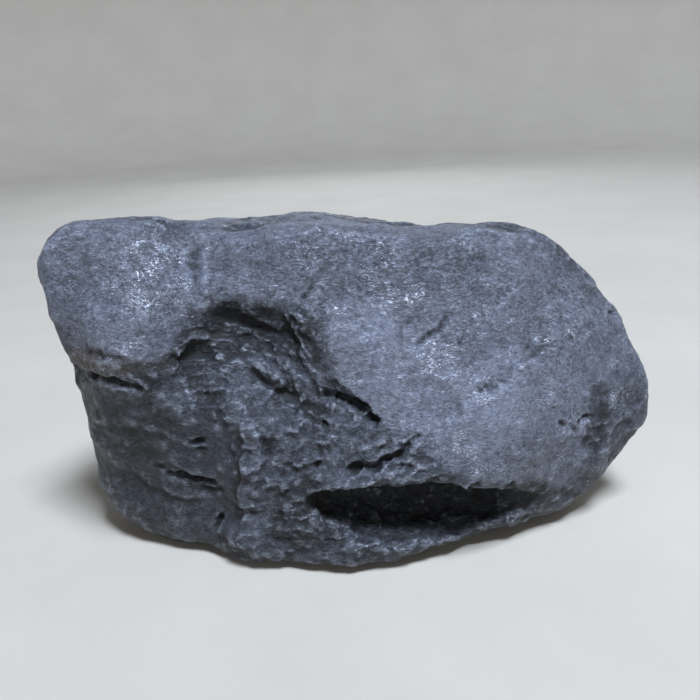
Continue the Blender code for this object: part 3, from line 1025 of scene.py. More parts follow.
# Small slits that only the fine skin can hold: the path, the half width, the depth.
SLITS = [
    ([(-98, -22, 66), (-88, -33.5, 68.2), (-82, -37.5, 68.4), (-76, -41, 67.2), (-70, -42.5, 65.6),
      (-64, -43, 62.4), (-58, -43, 58), (-53, -43, 54), (-48, -43, 50)], 1.7, 6.0),
    ([(-9, -41.2, 59.4), (-4.5, -43, 58.8), (0, -44.8, 57.8), (4.2, -46.4, 56),
      (6.4, -47.4, 54.6)], 2.5, 6.5),
    ([(4.4, -47.6, 53.4), (7, -48.8, 53), (9.6, -50, 52)], 2.0, 5.0),
    ([(-15.4, -43.2, 54), (-11, -44.9, 52.4), (-6.2, -46.6, 50.4)], 1.5, 3.6),
    ([(-3, -55.4, 38), (2.1, -55.3, 39.2), (6.6, -56.5, 39.9), (10.5, -56.2, 41.4), (15.1, -56.4, 43),
      (18.4, -56.2, 44.6)], 2.1, 5.5),
    ([(11.2, -57.7, 39), (14, -57.7, 40.2), (16.8, -57.8, 40), (20.4, -58.3, 39.6)], 1.4, 3.0),
    ([(-19.4, -51.1, 36.8), (-16, -52, 37.6), (-13.4, -52.7, 38.8), (-8.2, -53, 41)], 1.4, 3.0),
    ([(-33.4, -51.4, 30.6), (-31, -51.6, 32.2), (-28.2, -51.8, 34.4)], 1.3, 3.0),
    ([(15.6, -55.2, 45), (19.5, -54.9, 46.6), (23, -54.1, 49)], 1.3, 2.4),
    ([(-14, -29, 89), (-12, -28.2, 91), (-9.6, -26.9, 93.4)], 1.2, 1.8),
    ([(21, -37.8, 72.4), (25.8, -35.9, 75.3), (30.3, -34.3, 77.3), (33.6, -32.7, 79.8),
      (35.6, -31.2, 83.4)], 1.4, 1.8),
    ([(10, -59, 35), (11.6, -58, 30.4)], 2.6, 1.6), ([(24.6, -58.4, 35.4), (25.6, -57, 30)], 3.2, 2.0),
    ([(38.6, -56.4, 33), (39.8, -54.6, 28)], 3.0, 1.8), ([(52.6, -52.4, 28), (54, -50.4, 23)], 3.0, 1.8),
    ([(-4.6, -59, 34), (-3.4, -58, 29.6)], 2.6, 1.6),
    ([(36.4, -36.4, 72.4), (39.3, -35, 74.3), (41.1, -34.1, 76)], 1.3, 1.1),
    ([(95, -12, 73), (97.6, -10.8, 73.2), (100.4, -9.4, 73.2)], 1.4, 2.4),
    ([(78, -38.1, 41.8), (82.4, -35.2, 43), (86.4, -33.8, 42.6)], 1.5, 2.4),
    ([(85, -35, 40), (88.1, -34.2, 37.4), (91, -33.2, 34.4)], 1.4, 2.2),
    ([(70.6, -42.2, 45.6), (75.2, -40.6, 43.4), (79.2, -38.9, 39.4)], 1.4, 2.0),
    ([(-80.6, -33, 51.6), (-77, -33.8, 50.4), (-74, -34.4, 50.4)], 1.4, 2.6),
    ([(-65, -37, 31.6), (-58, -38.6, 30.6), (-52, -40.8, 29.8), (-46, -43.2, 30)], 1.8, 4.0),
    ([(-70, -36, 33.8), (-63, -37.4, 33.2), (-56, -39, 32.2)], 1.2, 1.8),
    ([(-53, -40.6, 26.4), (-48, -42.6, 26.4), (-44, -44, 27.4)], 1.2, 1.8),
    ([(-56, -39.4, 43.6), (-52.6, -40.4, 44.2), (-48.8, -41.9, 45.6)], 1.5, 3.0),
    ([(-53.6, -40, 40.8), (-50.4, -41, 41.6), (-47, -42, 42)], 1.2, 1.8),
    ([(-51.8, -43.8, 9.4), (-49, -43.9, 12.6), (-45.6, -44.2, 17.6)], 1.1, 3.0),
    ([(-46.6, -39.6, 55.4), (-43, -41.4, 54.8), (-39, -43.8, 54)], 1.4, 2.4),
    ([(-42, -38, 60), (-37, -37.8, 60.2), (-31, -37.2, 61.6)], 1.5, 2.0),
    ([(-24, -55.6, 26.6), (-17, -56.4, 28), (-11, -57, 30.4)], 1.6, 3.0),
    ([(-31.4, -53, 20), (-27, -54, 20.6), (-23.6, -54.6, 19.6)], 1.2, 2.4),
    ([(-28.6, -54.4, 14.2), (-24, -55.4, 13.4), (-20.4, -56, 13.8)], 1.2, 2.4),
    ([(-13, -57.4, 13.8), (-5, -58.4, 13), (3, -59.4, 12), (11, -59.4, 11.6)], 1.4, 2.4),
    ([(29, -54.4, 9.6), (38, -51.6, 9.2), (47, -48.8, 9)], 1.3, 1.6),
]

# Shallow troughs, and ribs where the depth is below 0: the path, the half width, the depth.
TROUGHS = [
    ([(38, -46.8, 60.4), (45, -45, 61), (51, -42.6, 62.8), (56, -39, 65.4)], 5.0, 0.8),
    ([(-101, -24, 75), (-97, -28, 74.4), (-92, -32.6, 74)], 4.0, -1.8),
    ([(57, -37, 66.4), (62.7, -34.4, 68.2), (69, -32.2, 69.8)], 3.0, 1.1),
    ([(74, -29.8, 70.4), (82.4, -25, 71.4), (89, -18, 72.2)], 3.0, 1.2),
    ([(-46, -27.4, 82.4), (-35.5, -26.8, 80.6), (-25.2, -28.2, 80.1), (-16, -32.4, 79.2)], 13.0, 2.2),
    ([(-57, -36.2, 70.2), (-50.6, -33, 71.5), (-44, -31, 73)], 7.0, 2.2),
    ([(-12.1, -33.6, 81.2), (-8.7, -37.5, 71.2), (-3.5, -42, 62.8)], 5.0, 1.4),
    ([(-23, -37.2, 61.6), (-18.7, -38.3, 59.9), (-15, -40, 58)], 4.0, 2.2),
    ([(-15.2, -41, 56.6), (-12.5, -42.4, 55.2), (-9.6, -44.1, 53.7)], 3.2, 2.0),
    ([(-52.0, -30.5, 77.6), (-50.5, -36.1, 65.8), (-45.2, -40.1, 57.0)], 5.0, 1.6),
    ([(-28.7, -44, 54.4), (-27.8, -48.7, 45), (-29.6, -51.4, 31.7)], 4.0, 1.3),
    ([(2, -44, 25), (10, -41, 22), (18, -39, 21), (26, -38, 22)], 5.0, -3.0),
    ([(-50, -12, 106), (-48.8, -20.6, 97.8), (-50, -26.8, 89.6)], 4.5, 0.6),
    ([(-53.8, -13.2, 105.9), (-51.9, -20.9, 97.9), (-53, -26.6, 90.2)], 2.2, -0.7),
    ([(-46.3, -12.9, 105.8), (-45.7, -20.4, 97.5), (-47.6, -27.2, 88)], 2.2, -0.7),
    ([(-66, -10, 114.5), (-62, -8, 115), (-57.5, -7, 113.5)], 5.0, -1.0),
]

# Thin ledges of the face: path, height, reach, edge.
SMALL_STEPS = [
    ([(-50, -42, 52.6), (-56, -42.4, 58), (-63, -42.4, 65.6), (-70, -42.4, 69.6), (-78, -40.8, 75.6),
      (-90, -35.8, 76), (-98, -27.4, 75.4)], 1.6, 6, 0.6),
    ([(-88, -33.1, 79.6), (-79.8, -38.8, 78.4), (-71.5, -41.2, 75), (-66.3, -40.6, 71.7)], 1.8, 5, 0.5),
    ([(-45, -27.4, 83.3), (-39.5, -27.2, 88.6), (-32.6, -28, 88.8), (-25, -28.6, 85.4), (-18, -30.2, 86.2),
      (-12.6, -31, 86.6)], 0.5, 6, 1.4),
    ([(-12.6, -31, 86.6), (-11, -34, 82), (-10.7, -36, 76), (-9.2, -37.4, 71.6), (-6.4, -40.2, 66),
      (0, -43.6, 61.6), (7, -47, 56.4)], 1.8, 6, 0.7),
    ([(-9, -41.4, 57.6), (-18, -38.4, 59.4), (-26, -37.4, 62), (-31, -36.8, 63.4), (-37, -37.3, 62.8),
      (-44, -37.2, 61.6)], 1.4, 5, 0.6),
    ([(-40.6, -26.8, 82.6), (-32.3, -27.1, 84.3), (-22.9, -28.9, 82.3), (-14.3, -33.7, 77.9)], 1.4, 5, 0.5),
    ([(-46, -30, 73.4), (-41.8, -29, 75.2), (-33.6, -27.8, 76.8), (-24.8, -30.3, 75.1), (-15.5, -35.3, 70),
      (-5.9, -41.4, 61.3)], 1.6, 5, 0.5),
    ([(-44, -31.8, 70.2), (-35.8, -30.2, 72.8), (-26.9, -32.2, 71.6), (-18.4, -36.1, 66.2),
      (-10, -40.9, 59.1)], 2.0, 5, 0.5),
    ([(-44.7, -35.1, 65), (-37.2, -33.3, 68.3), (-29.8, -35, 67.1), (-21.3, -37.4, 61.9),
      (-14.2, -41.5, 56)], 2.2, 5, 0.5),
    ([(-12, -58, 31.4), (-4, -59, 33), (8, -59.6, 34.4), (22, -59.4, 34.6), (34, -57.4, 32),
      (48, -54.4, 27.6)], 2.4, 4, 0.5),
    ([(40.5, -46.2, 59.4), (46, -45.4, 58.8), (51.4, -42.4, 61), (56, -39, 64.6), (62.7, -34.4, 67.8),
      (70, -31.6, 69.4), (79, -27, 70.6)], -1.4, 7, 0.8),
    ([(-36.6, -46.5, 51.6), (-36.7, -48.5, 41.7), (-38.6, -48.1, 26.3), (-38.4, -51.5, 14.7)], 3.2, 9, 0.7),
    ([(-29.6, -50.1, 38.4), (-20.4, -51, 36.9), (-8.6, -52.8, 41)], 1.5, 4, 0.4),
    ([(-27.6, -52.2, 28.2), (-18.6, -53.2, 32.9), (-7.2, -56.6, 36.5)], 1.6, 4, 0.4),
    ([(-16.7, -49.2, 43.9), (-6.7, -49.8, 45.9), (0.6, -50, 48.4)], 1.4, 4, 0.4),
    ([(0.3, -52.8, 43.4), (6.8, -53.1, 45.3), (14.4, -54.8, 45.1)], 1.4, 4, 0.4),
    ([(-80.8, -33.9, 47.8), (-71.2, -36.8, 51), (-61.4, -38.5, 45.2), (-51.3, -40.6, 41.2)], 1.4, 5, 0.6),
    ([(-62.8, -38.6, 35.4), (-57.7, -39.9, 32.7), (-48.8, -42.7, 30.6)], 1.8, 5, 0.5),
    ([(-79.3, -31.1, 30.5), (-72.4, -33.9, 24.4), (-60.9, -39.4, 22.2), (-48.1, -43, 21.7)], 1.4, 6, 0.6),
]

FIBRES = Grid(-28, 3.5)
SCALES = Grid(-12, 5)
SLABS = Grid(14, 1.8)
ARCS = Grid(stretch=7, hub=(-47, 50))

#                                                          worn broken hollow chin flank
COARSE_RELIEF = (
    Layer(Chips(19, 1.60, 0.3, 11, SLABS), 0.60, 1.0, 0.2, 0.6, 0.6),
    Layer(Chips(8.5, 1.10, 0.3, 12, SLABS), 0.35, 1.0, 0.3, 1.2, 0.5),
    Layer(Flakes(10, 0.90, 14, SLABS), 0.12, 0.8, 0.3, 0.6, 0.35),
    Layer(Flakes(6, 1.30, 15, ARCS, 0.3), 0.0, 0.0, 1.0, 0.0, 0.0),
    Layer(Flakes(6, 1.10, 16, SCALES, 0.7), 0.0, 0.3, 0.0, 0.8, 0.0),
    Layer(Lumps(Waves(13, 31, 3), 0.35), 1.3, 0.7, 0.6, 0.5, 1.0),
)
FINE_RELIEF = (
    Layer(Flakes(2.6, 0.45, 17, ARCS, 0.25), 0.0, 0.0, 0.8, 0.0, 0.0),
    Layer(Flakes(3.0, 0.36, 18, SCALES, 0.4), 0.08, 0.4, 0.2, 0.5, 0.0),
    Layer(Chips(4.4, 0.45, 0.3, 13, SLABS), 0.40, 0.8, 0.0, 0.6, 0.3),
    Layer(Lumps(Waves(4.2, 33, 3, 0.6, FIBRES), 0.16), 1.2, 0.4, 0.1, 0.2, 0.6),
    Layer(Lumps(Waves(1.9, 35, 2, 0.6), 0.11), 1.2, 0.6, 0.2, 0.3, 0.6),
    Layer(Pits(2.4, 0.45, 41), 0.6, 0.5, 0.1, 0.1, 0.4),
)


# ---------------------------------------------------------------- the stone


def show(name: str, data: bpy.types.ID) -> bpy.types.Object:
    """Puts a new object in the scene.

    Args:
        name: Its name.
        data: Its mesh, light or camera.

    Returns:
        The object, at the origin.
    """
    obj = bpy.data.objects.new(name, data)
    bpy.context.scene.collection.objects.link(obj)
    return obj


class Skin:
    """The points of a mesh object in millimetres, and the tools that change the whole mesh."""

    def __init__(self, mesh: bpy.types.Mesh) -> None:
        """Puts the mesh in the scene.

        Args:
            mesh: The mesh, in metres.
        """
        self.obj = show(mesh.name, mesh)

    def points(self) -> np.ndarray:
        """The points."""
        return self._read("co") / MM

    def normals(self) -> np.ndarray:
        """The outward normals at the points."""
        return self._read("normal")

    def edges(self) -> np.ndarray:
        """The numbers of the two points of each edge.

        Returns:
            Two numbers for each edge.
        """
        pairs = np.empty(len(self.obj.data.edges) * 2, int)
        self.obj.data.edges.foreach_get("vertices", pairs)
        return pairs.reshape(-1, 2)

    def _read(self, name: str) -> np.ndarray:
        """Three numbers for each point.

        Args:
            name: What to read.

        Returns:
            One row for each point.
        """
        values = np.empty(len(self.obj.data.vertices) * 3)
        self.obj.data.vertices.foreach_get(name, values)
        return values.reshape(-1, 3)

    def move_to(self, points: np.ndarray) -> None:
        """Moves the points to the given places."""
        self.obj.data.vertices.foreach_set("co", (points * MM).ravel())
        self.obj.data.update()

    def lift(self, heights: np.ndarray) -> None:
        """Moves each point out by its own height."""
        self.move_to(self.points() + self.normals() * heights[:, None])

    def strike(self, strokes: Iterable[Stroke], ragged: float = 0.0, steady: bool = False) -> None:
        """Works strokes into the skin, one after the other.

        Args:
            strokes: The strokes.
            ragged: How far the strokes wander from their paths.
            steady: Whether the normals stay as they were before the first stroke, which is quick.
        """
        points = self.points()
        normals = self.normals()
        wander = STROKE_WANDER.shift(points, ragged) if ragged else np.zeros_like(points)
        for stroke in strokes:
            low, high = stroke.box()
            inside = (points > low - BOX_MARGIN) & (points < high + BOX_MARGIN)
            near = np.flatnonzero(np.all(inside, axis=1))
            points[near] += stroke.move(points[near] + wander[near], normals[near])
            if not steady:
                self.move_to(points)
                normals = self.normals()
        self.move_to(points)

    def even(self, voxel: float, passes: int) -> None:
        """Spreads the points evenly over the skin.

        Args:
            voxel: The distance between points.
            passes: How often the skin is then softened a little.
        """
        remesh = self.obj.modifiers.new("Even", "REMESH")
        remesh.mode = "VOXEL"
        remesh.voxel_size = voxel * MM
        if passes:
            soften = self.obj.modifiers.new("Soften", "SMOOTH")
            soften.factor = 0.5
            soften.iterations = passes
        self._apply()

    def thin_out(self, triangles: int) -> None:
        """Keeps about the given number of triangles, most of them where the form turns.

        Args:
            triangles: How many triangles to keep.
        """
        self.obj.data.calc_loop_triangles()
        count = len(self.obj.data.loop_triangles)
        if count > triangles:
            light = self.obj.modifiers.new("Light", "DECIMATE")
            light.ratio = triangles / count
            self._apply()

    def break_out(self, name: str, corners: Sequence[Point]) -> None:
        """Cuts the hull of the corners out of the stone.

        Args:
            name: The wedge's name.
            corners: The wedge's corners.
        """
        form = bmesh.new()
        for corner in corners:
            form.verts.new(Vector(corner) * MM)
        bmesh.ops.convex_hull(form, input=form.verts[:])
        bmesh.ops.recalc_face_normals(form, faces=form.faces[:])
        mesh = bpy.data.meshes.new(name)
        form.to_mesh(mesh)
        form.free()
        cutter = show(name, mesh)
        boolean = self.obj.modifiers.new(name, "BOOLEAN")
        boolean.operation = "DIFFERENCE"
        boolean.solver = "EXACT"
        boolean.object = cutter
        self._apply()
        bpy.data.objects.remove(cutter)
        bpy.data.meshes.remove(mesh)

    def cut_sole(self) -> None:
        """Cuts the underside flat at height 0 and closes it."""
        form = bmesh.new()
        form.from_mesh(self.obj.data)
        everything = form.verts[:] + form.edges[:] + form.faces[:]
        cut = bmesh.ops.bisect_plane(
            form, geom=everything, dist=0.01 * MM, plane_co=(0, 0, 0), plane_no=(0, 0, 1), clear_inner=True
        )
        rim = [part for part in cut["geom_cut"] if isinstance(part, bmesh.types.BMEdge)]
        bmesh.ops.holes_fill(form, edges=rim)
        bmesh.ops.recalc_face_normals(form, faces=form.faces[:])
        form.to_mesh(self.obj.data)
        form.free()

    def sunken(self, rounds: int) -> np.ndarray:
        """Tells how far each point lies under the skin around it.

        Args:
            rounds: How often the skin is evened out to find its level; more rounds look further.

        Returns:
            The depth of each point, below 0 where it stands out.
        """
        points = self.points()
        one, two = self.edges().T
        many = len(points)
        beside = np.bincount(one, minlength=many) + np.bincount(two, minlength=many)
        level = points.copy()
        for _ in range(rounds):
            for axis in range(3):
                row = level[:, axis]
                around = np.bincount(one, row[two], many) + np.bincount(two, row[one], many)
                level[:, axis] = 0.5 * row + 0.5 * around / beside
        return dots(level - points, self.normals())

    def paint(self, name: str, values: np.ndarray) -> None:
        """Keeps one number for each point under a name, for the materials to read."""
        layer = self.obj.data.attributes.new(name, "FLOAT", "POINT")
        layer.data.foreach_set("value", values.astype(np.float32))

    def _apply(self) -> None:
        """Swaps the mesh for its evaluated one and clears the modifiers."""
        graph = bpy.context.evaluated_depsgraph_get()
        mesh = bpy.data.meshes.new_from_object(self.obj.evaluated_get(graph))
        old = self.obj.data
        name = old.name
        self.obj.modifiers.clear()
        self.obj.data = mesh
        bpy.data.meshes.remove(old)
        mesh.name = name


# Spots rubbed bright that also carry painted glints: the middle and the reach.
SCUFFS_AND_GLINTS = [
    ((44.1, -45.5, 58.4), (6, 6, 1.8)), ((49, -44, 60), (4, 6, 2)), ((65.6, -32.5, 69.4), (5, 6, 2.4)),
    ((58.8, -35.9, 66.6), (5, 6, 2)), ((79.4, -27.3, 70), (5, 8, 2.4)), ((86.5, -19.6, 73), (5, 9, 2.4)),
    ((85.4, -29.7, 56), (4, 8, 4)), ((70.8, -39.7, 52), (6, 8, 3)), ((91.5, -29.8, 47.8), (4, 8, 4)),
    ((48.3, -26, 89.2), (4, 8, 4)), ((44.7, -31.7, 80), (3.5, 8, 7)), ((59.7, -25.3, 84.6), (5, 8, 3)),
    ((13.8, -40.6, 68.4), (6, 8, 5)), ((25.8, -41.3, 65.6), (5, 8, 5)), ((29, -47.8, 57), (5, 7, 6)),
    ((23, -29.8, 87), (6, 8, 3)), ((9.6, -31.2, 84.5), (7, 8, 4)), ((31.2, -35.4, 75), (7, 8, 4)),
    ((38.4, -52.8, 47), (7, 8, 3)), ((5, -49.6, 50.8), (3.5, 5, 2.5)), ((6.4, -51.1, 48), (3, 5, 3)),
    ((-92.2, -25.1, 95.9), (4, 8, 3)), ((-77.5, -26.9, 96.4), (5, 8, 3)),
    ((-63.8, -23.9, 100.3), (4, 8, 2.4)),
    ((-67.3, -31, 91.5), (4, 8, 4)), ((-80.4, -35, 84.6), (5, 8, 2.4)), ((-70.8, -39.3, 79.4), (5, 8, 5)),
    ((-50.5, -13.6, 104.8), (4, 8, 4)), ((-59, -12.9, 108.5), (5, 8, 3)), ((-71.2, -18.7, 108.3), (5, 9, 3)),
    ((-53, -25, 92), (2.4, 10, 9)), ((-46.6, -22, 95), (2, 10, 8)), ((-24.3, -25.8, 92.6), (6, 8, 4)),
    ((-31, -23, 96), (4, 8, 5)), ((-16.9, -50.7, 39.9), (6, 6, 2)), ((-2.4, -57.4, 36.6), (5, 6, 2.4)),
    ((-4.6, -52.5, 42.4), (4, 6, 3)), ((-23.9, -33, 71), (6, 6, 2.4)), ((-25.5, -43.3, 54.2), (5, 6, 2)),
    ((-33.6, -49, 42), (2.4, 6, 9)), ((-20, 58, 66), (8, 10, 3)), ((40, 52, 74), (9, 10, 3)),
    ((-60, 46, 88), (6, 10, 6)), ((70, 40, 60), (5, 10, 7)), ((0, 20, 108), (12, 6, 6)),
    ((-40, 30, 107), (8, 8, 6)), ((104, 2, 60), (6, 8, 5)), ((-100, 4, 84), (6, 8, 4)),
]
RUST = Region((-84, -33, 72), (20, 12, 3.5))

# How firm the borders of the bands are.
LIGHT_SHADE_AND_TONE_FIRMNESS = 1.5

# Soft bands of painted light and shade, partly also of darker or lighter stone, lighter (above 0) or darker
# than the skin around them: path, half width, amount.
LIGHT_SHADE_AND_TONE_BANDS = [
    ([(-43.9, -27.4, 81), (-35.5, -26.8, 78.5), (-25.2, -28.2, 78.5), (-14.2, -33.4, 78)], 13, -1.0),
    ([(-56.4, -36.2, 71.2), (-50.6, -32.4, 73), (-44.2, -30.3, 73.2), (-36.5, -30.2, 72.8)], 7, -0.7),
    ([(-12.1, -33.6, 81.2), (-8.7, -37.5, 71.2), (-3.5, -42, 62.8)], 5, -0.5),
    ([(-21.7, -37.7, 61.2), (-18.7, -38.3, 59.9), (-16.1, -39.7, 58.2)], 5, -0.8),
    ([(-15.2, -41, 56.6), (-12.5, -42.4, 55.2), (-9.6, -44.1, 53.7)], 4, -0.8),
    ([(-96, -26, 74), (-80.5, -38.9, 71.8), (-72, -41.2, 69.6), (-64.3, -39.9, 64.6)], 4, -0.8),
    ([(-86.8, -31.7, 49), (-70.4, -36.9, 44.9), (-54.8, -40, 41.1), (-41.4, -46.5, 37)], 16, -0.5),
    ([(-86, -30, 22), (-66, -38, 20), (-46, -44, 20)], 14, -0.4),
    ([(-52, -31.5, 76.6), (-50.5, -36.1, 65.8), (-44.2, -40.1, 57)], 7, -0.6),
    ([(-17.6, -54.3, 27.4), (-8, -50, 24.2), (16.6, -42, 22), (45.2, -40, 20),
      (58, -42.5, 17.2)], 12, -0.8),
    ([(-78.3, -33.3, 10.1), (-59.5, -40.2, 3.9), (-39.8, -52, 6.6)], 7, -0.5),
    ([(98, -26, 44), (94, -30, 30), (85.8, -31, 13.4)], 16, -0.6),
    ([(-44, -22, 98), (-20, -24, 98), (8, -25, 98), (40, -24, 98)], 14, -0.25),
    ([(-53.8, -13.2, 105.9), (-51.7, -20.9, 97.9), (-52.6, -26.6, 90.2)], 3, 0.6),
    ([(-46.3, -12.9, 105.8), (-45.7, -20.4, 97.5), (-48, -27.2, 88)], 3, 0.5),
    ([(8.6, -36.9, 75), (21.9, -43.7, 63.2), (38.9, -49.5, 54.3), (56.6, -42.4, 58.3)], 20, 0.65),
    ([(-33.6, -46.6, 52.3), (-32.6, -49.4, 41.9), (-35.3, -49.6, 27.1), (-35.2, -52.6, 14.1)], 4, 0.5),
    ([(-35.8, -32.3, 70), (-26.3, -32.7, 71), (-17.1, -36.7, 64.9), (-8.8, -42.1, 57.4)], 4, 0.5),
    ([(-28.7, -45.5, 52.9), (-23.1, -47.3, 47.7), (-15.9, -48.7, 45.4)], 5, 0.4),
    ([(-9.9, -56.6, 35.1), (-4, -56.9, 37.2), (1.2, -57, 37.7)], 4, 0.6),
    ([(-24, -55, 16), (-8, -58, 8), (7.9, -58.6, 7), (32.1, -52.1, 6.9), (56, -46, 8)], 8, -0.4),
    ([(-6, -44, 24), (14, -36, 20), (34, -33, 18), (54, -38, 17)], 18, -1.0),
    ([(38.7, -46.4, 58.9), (46.9, -44.3, 59.6), (52.4, -40, 63.2), (65.1, -33.5, 67.9),
      (77.4, -27.8, 70.1)], 3, -0.3),
    ([(-96, -21, 64), (-86, -28, 62), (-75, -34, 60)], 4, 0.4),
]


@dataclass
class ShungiteStone:
    """The lump itself.

    Attributes:
        length: Its size along X.
        depth: Its size along Y.
        height: Its size along Z.
        coarse_voxel: The distance between points while the large forms are made.
        soften_passes: How often the landmarks' cage is softened.
        slit_voxel: The distance between points while the slits are made.
        fine_voxel: The distance between points while the small forms are made.
        triangles: The most triangles in the finished mesh.
        wander: How far troughs, small steps and slits wander from their paths.
        slit_steepness: How steep the slits' sides are.
        slit_rise: How far the slits turn up inside, in shares of their depth.
        near_look: Rounds to find the skin's level close by, the depth of a full crevice, its weight.
        far_look: The same for the level further around.
        ridge_height: The height of a full ridge.
        sole_border: The height where relief begins over the flat sole, and how softly it does.
        flank_smoothness: How smooth the left flank is, where worn skin has 1.
    """

    length: float
    depth: float
    height: float
    coarse_voxel: float = 2.0
    soften_passes: int = 2
    slit_voxel: float = 0.8
    fine_voxel: float = 0.7
    triangles: int = 196000
    wander: Point = (1.5, 1.2, 0.9)
    slit_steepness: float = 1.7
    slit_rise: float = 0.45
    near_look: tuple[int, float, float] = (6, 0.30, 0.6)
    far_look: tuple[int, float, float] = (60, 1.6, 0.7)
    ridge_height: float = 0.25
    sole_border: Spot = (0.3, 2.0)
    flank_smoothness: float = 0.6

    def build(self) -> bpy.types.Object:
        """Makes the finished mesh.

        Returns:
            The stone's object.
        """
        skin = Skin(self._cage())
        self._large_forms(skin)
        LOG.info("large forms: %d points", len(skin.obj.data.vertices))
        self._small_forms(skin)
        LOG.info("small forms: %d points", len(skin.obj.data.vertices))
        skin.thin_out(self.triangles)
        self._mark(skin)
        self._fit(skin)
        skin.obj.data.shade_smooth()
        return skin.obj

    @staticmethod
    def _cage() -> bpy.types.Mesh:
        """The coarse closed form: the face and the back, sewn along the outline.

        Returns:
            The mesh, in metres.
        """
        points = list(OUTLINE)
        faces: list[list[int]] = []
        span_side(FACE, FACE_CREASES, points, faces, flip=False)
        span_side(BACK, BACK_CREASES, points, faces, flip=True)
        mesh = bpy.data.meshes.new("stone")
        mesh.from_pydata([Vector(point) * MM for point in points], [], faces)
        return mesh

    def _large_forms(self, skin: Skin) -> None:
        """Scars, fracture, steps, cracks and wedges, as the solid has them.

        Args:
            skin: The skin.
        """
        skin.even(self.coarse_voxel, self.soften_passes)
        skin.strike(Scar(*values) for values in SCARS)
        skin.lift(self._fracture(skin.points()))
        skin.strike(Step(*values) for values in STEPS)
        skin.strike(Crack(*values) for values in CRACKS)
        skin.even(self.coarse_voxel, 0)
        for name, corners in BREAKS.items():
            skin.break_out(name, corners)
            skin.even(self.coarse_voxel, 0)
        skin.cut_sole()

    @staticmethod
    def _fracture(points: np.ndarray) -> np.ndarray:
        """The height of the skin's bowls and lumps, calmer on the great face.

        Args:
            points: The points.

        Returns:
            The heights.
        """
        bowls = np.array([noise.voronoi(Vector(point) / BOWL_SIZE)[0][0] for point in points])
        lumps = np.array([noise.fractal(Vector(point) / LUMP_SIZE, 0.8, 2.0, 4) for point in points])
        calm = CALM_SHARE * Region(CALM_CENTRE, CALM_REACH).at(points)
        return (BOWL_HEIGHT * (bowls - bowls.mean()) + LUMP_HEIGHT * lumps) * (1 - calm)

    def _small_forms(self, skin: Skin) -> None:
        """Troughs, thin ledges, facets, chips, slits and grain, which only the fine skin can hold.

        Args:
            skin: The skin.
        """
        along_troughs, along_steps, along_slits = self.wander
        skin.even(self.slit_voxel, 1)
        skin.strike((Crack(*values) for values in TROUGHS), along_troughs, steady=True)
        skin.strike((Step(*values) for values in SMALL_STEPS), along_steps)
        for values in FACET_ROUNDS:
            skin.strike(strewn_facets(skin.points(), skin.normals(), *values), steady=True)
        LOG.info("ledges and facets done")
        self._roughen(skin, COARSE_RELIEF)
        slits = (Crack(*values, self.slit_steepness, self.slit_rise) for values in SLITS)
        skin.strike(slits, along_slits, steady=True)
        skin.even(self.fine_voxel, 1)
        self._roughen(skin, FINE_RELIEF)

    def _roughen(self, skin: Skin, layers: Sequence[Layer]) -> None:
        """Lays relief over the skin, but not on the flat sole.

        Args:
            skin: The skin.
            layers: The layers of relief.
        """
        points = skin.points()
        shares = zone_shares(points)
        begin, soft = self.sole_border
        off_sole = smooth_step((points[:, 2] - begin) / soft)
        skin.lift(sum(layer.lift(points, shares) for layer in layers) * off_sole)

    def _mark(self, skin: Skin) -> None:
        """Keeps what the finish needs to know about each point.

        Args:
            skin: The skin.
        """
        points = skin.points()
        shares = zone_shares(points)
        skin.paint("worn", shares[Zone.WORN])
        skin.paint("smooth", shares[Zone.WORN] + self.flank_smoothness * shares[Zone.FLANK])
        near_rounds, near_depth, near_weight = self.near_look
        far_rounds, far_depth, far_weight = self.far_look
        near = skin.sunken(near_rounds)
        far = skin.sunken(far_rounds)
        crevice = np.clip(near / near_depth, 0, 1) * near_weight + np.clip(far / far_depth, 0, 1) * far_weight
        skin.paint("crevice", crevice)
        skin.paint("ridge", np.clip(-near / self.ridge_height, 0, 1))
        loose = points + LOOSE_BORDERS.shift(points, MARK_WANDER)
        # Rubbed spots, which also carry painted glints.
        skin.paint("scuff_and_glint", np.maximum.reduce([Region(*values).at(loose) for values in SCUFFS_AND_GLINTS]))
        skin.paint("rust", RUST.at(loose))
        # Bands of painted light and shade, partly also darker or lighter stone.
        light_shade_and_tone = np.zeros(len(points))
        for path, half_width, amount in LIGHT_SHADE_AND_TONE_BANDS:
            on_path = OnPath.of(loose, path)
            light_shade_and_tone += amount * smooth_step(LIGHT_SHADE_AND_TONE_FIRMNESS * (1 - on_path.distance / half_width))
        skin.paint("light_shade_and_tone", np.clip(light_shade_and_tone, -1, 1))

    def _fit(self, skin: Skin) -> None:
        """Brings the stone to its length, depth and height, with its origin under its middle.

        Args:
            skin: The skin.
        """
        points = skin.points()
        low = points.min(axis=0)
        high = points.max(axis=0)
        middle = (low + high) / 2
        middle[2] = low[2]
        skin.move_to((points - middle) * (np.array([self.length, self.depth, self.height]) / (high - low)))


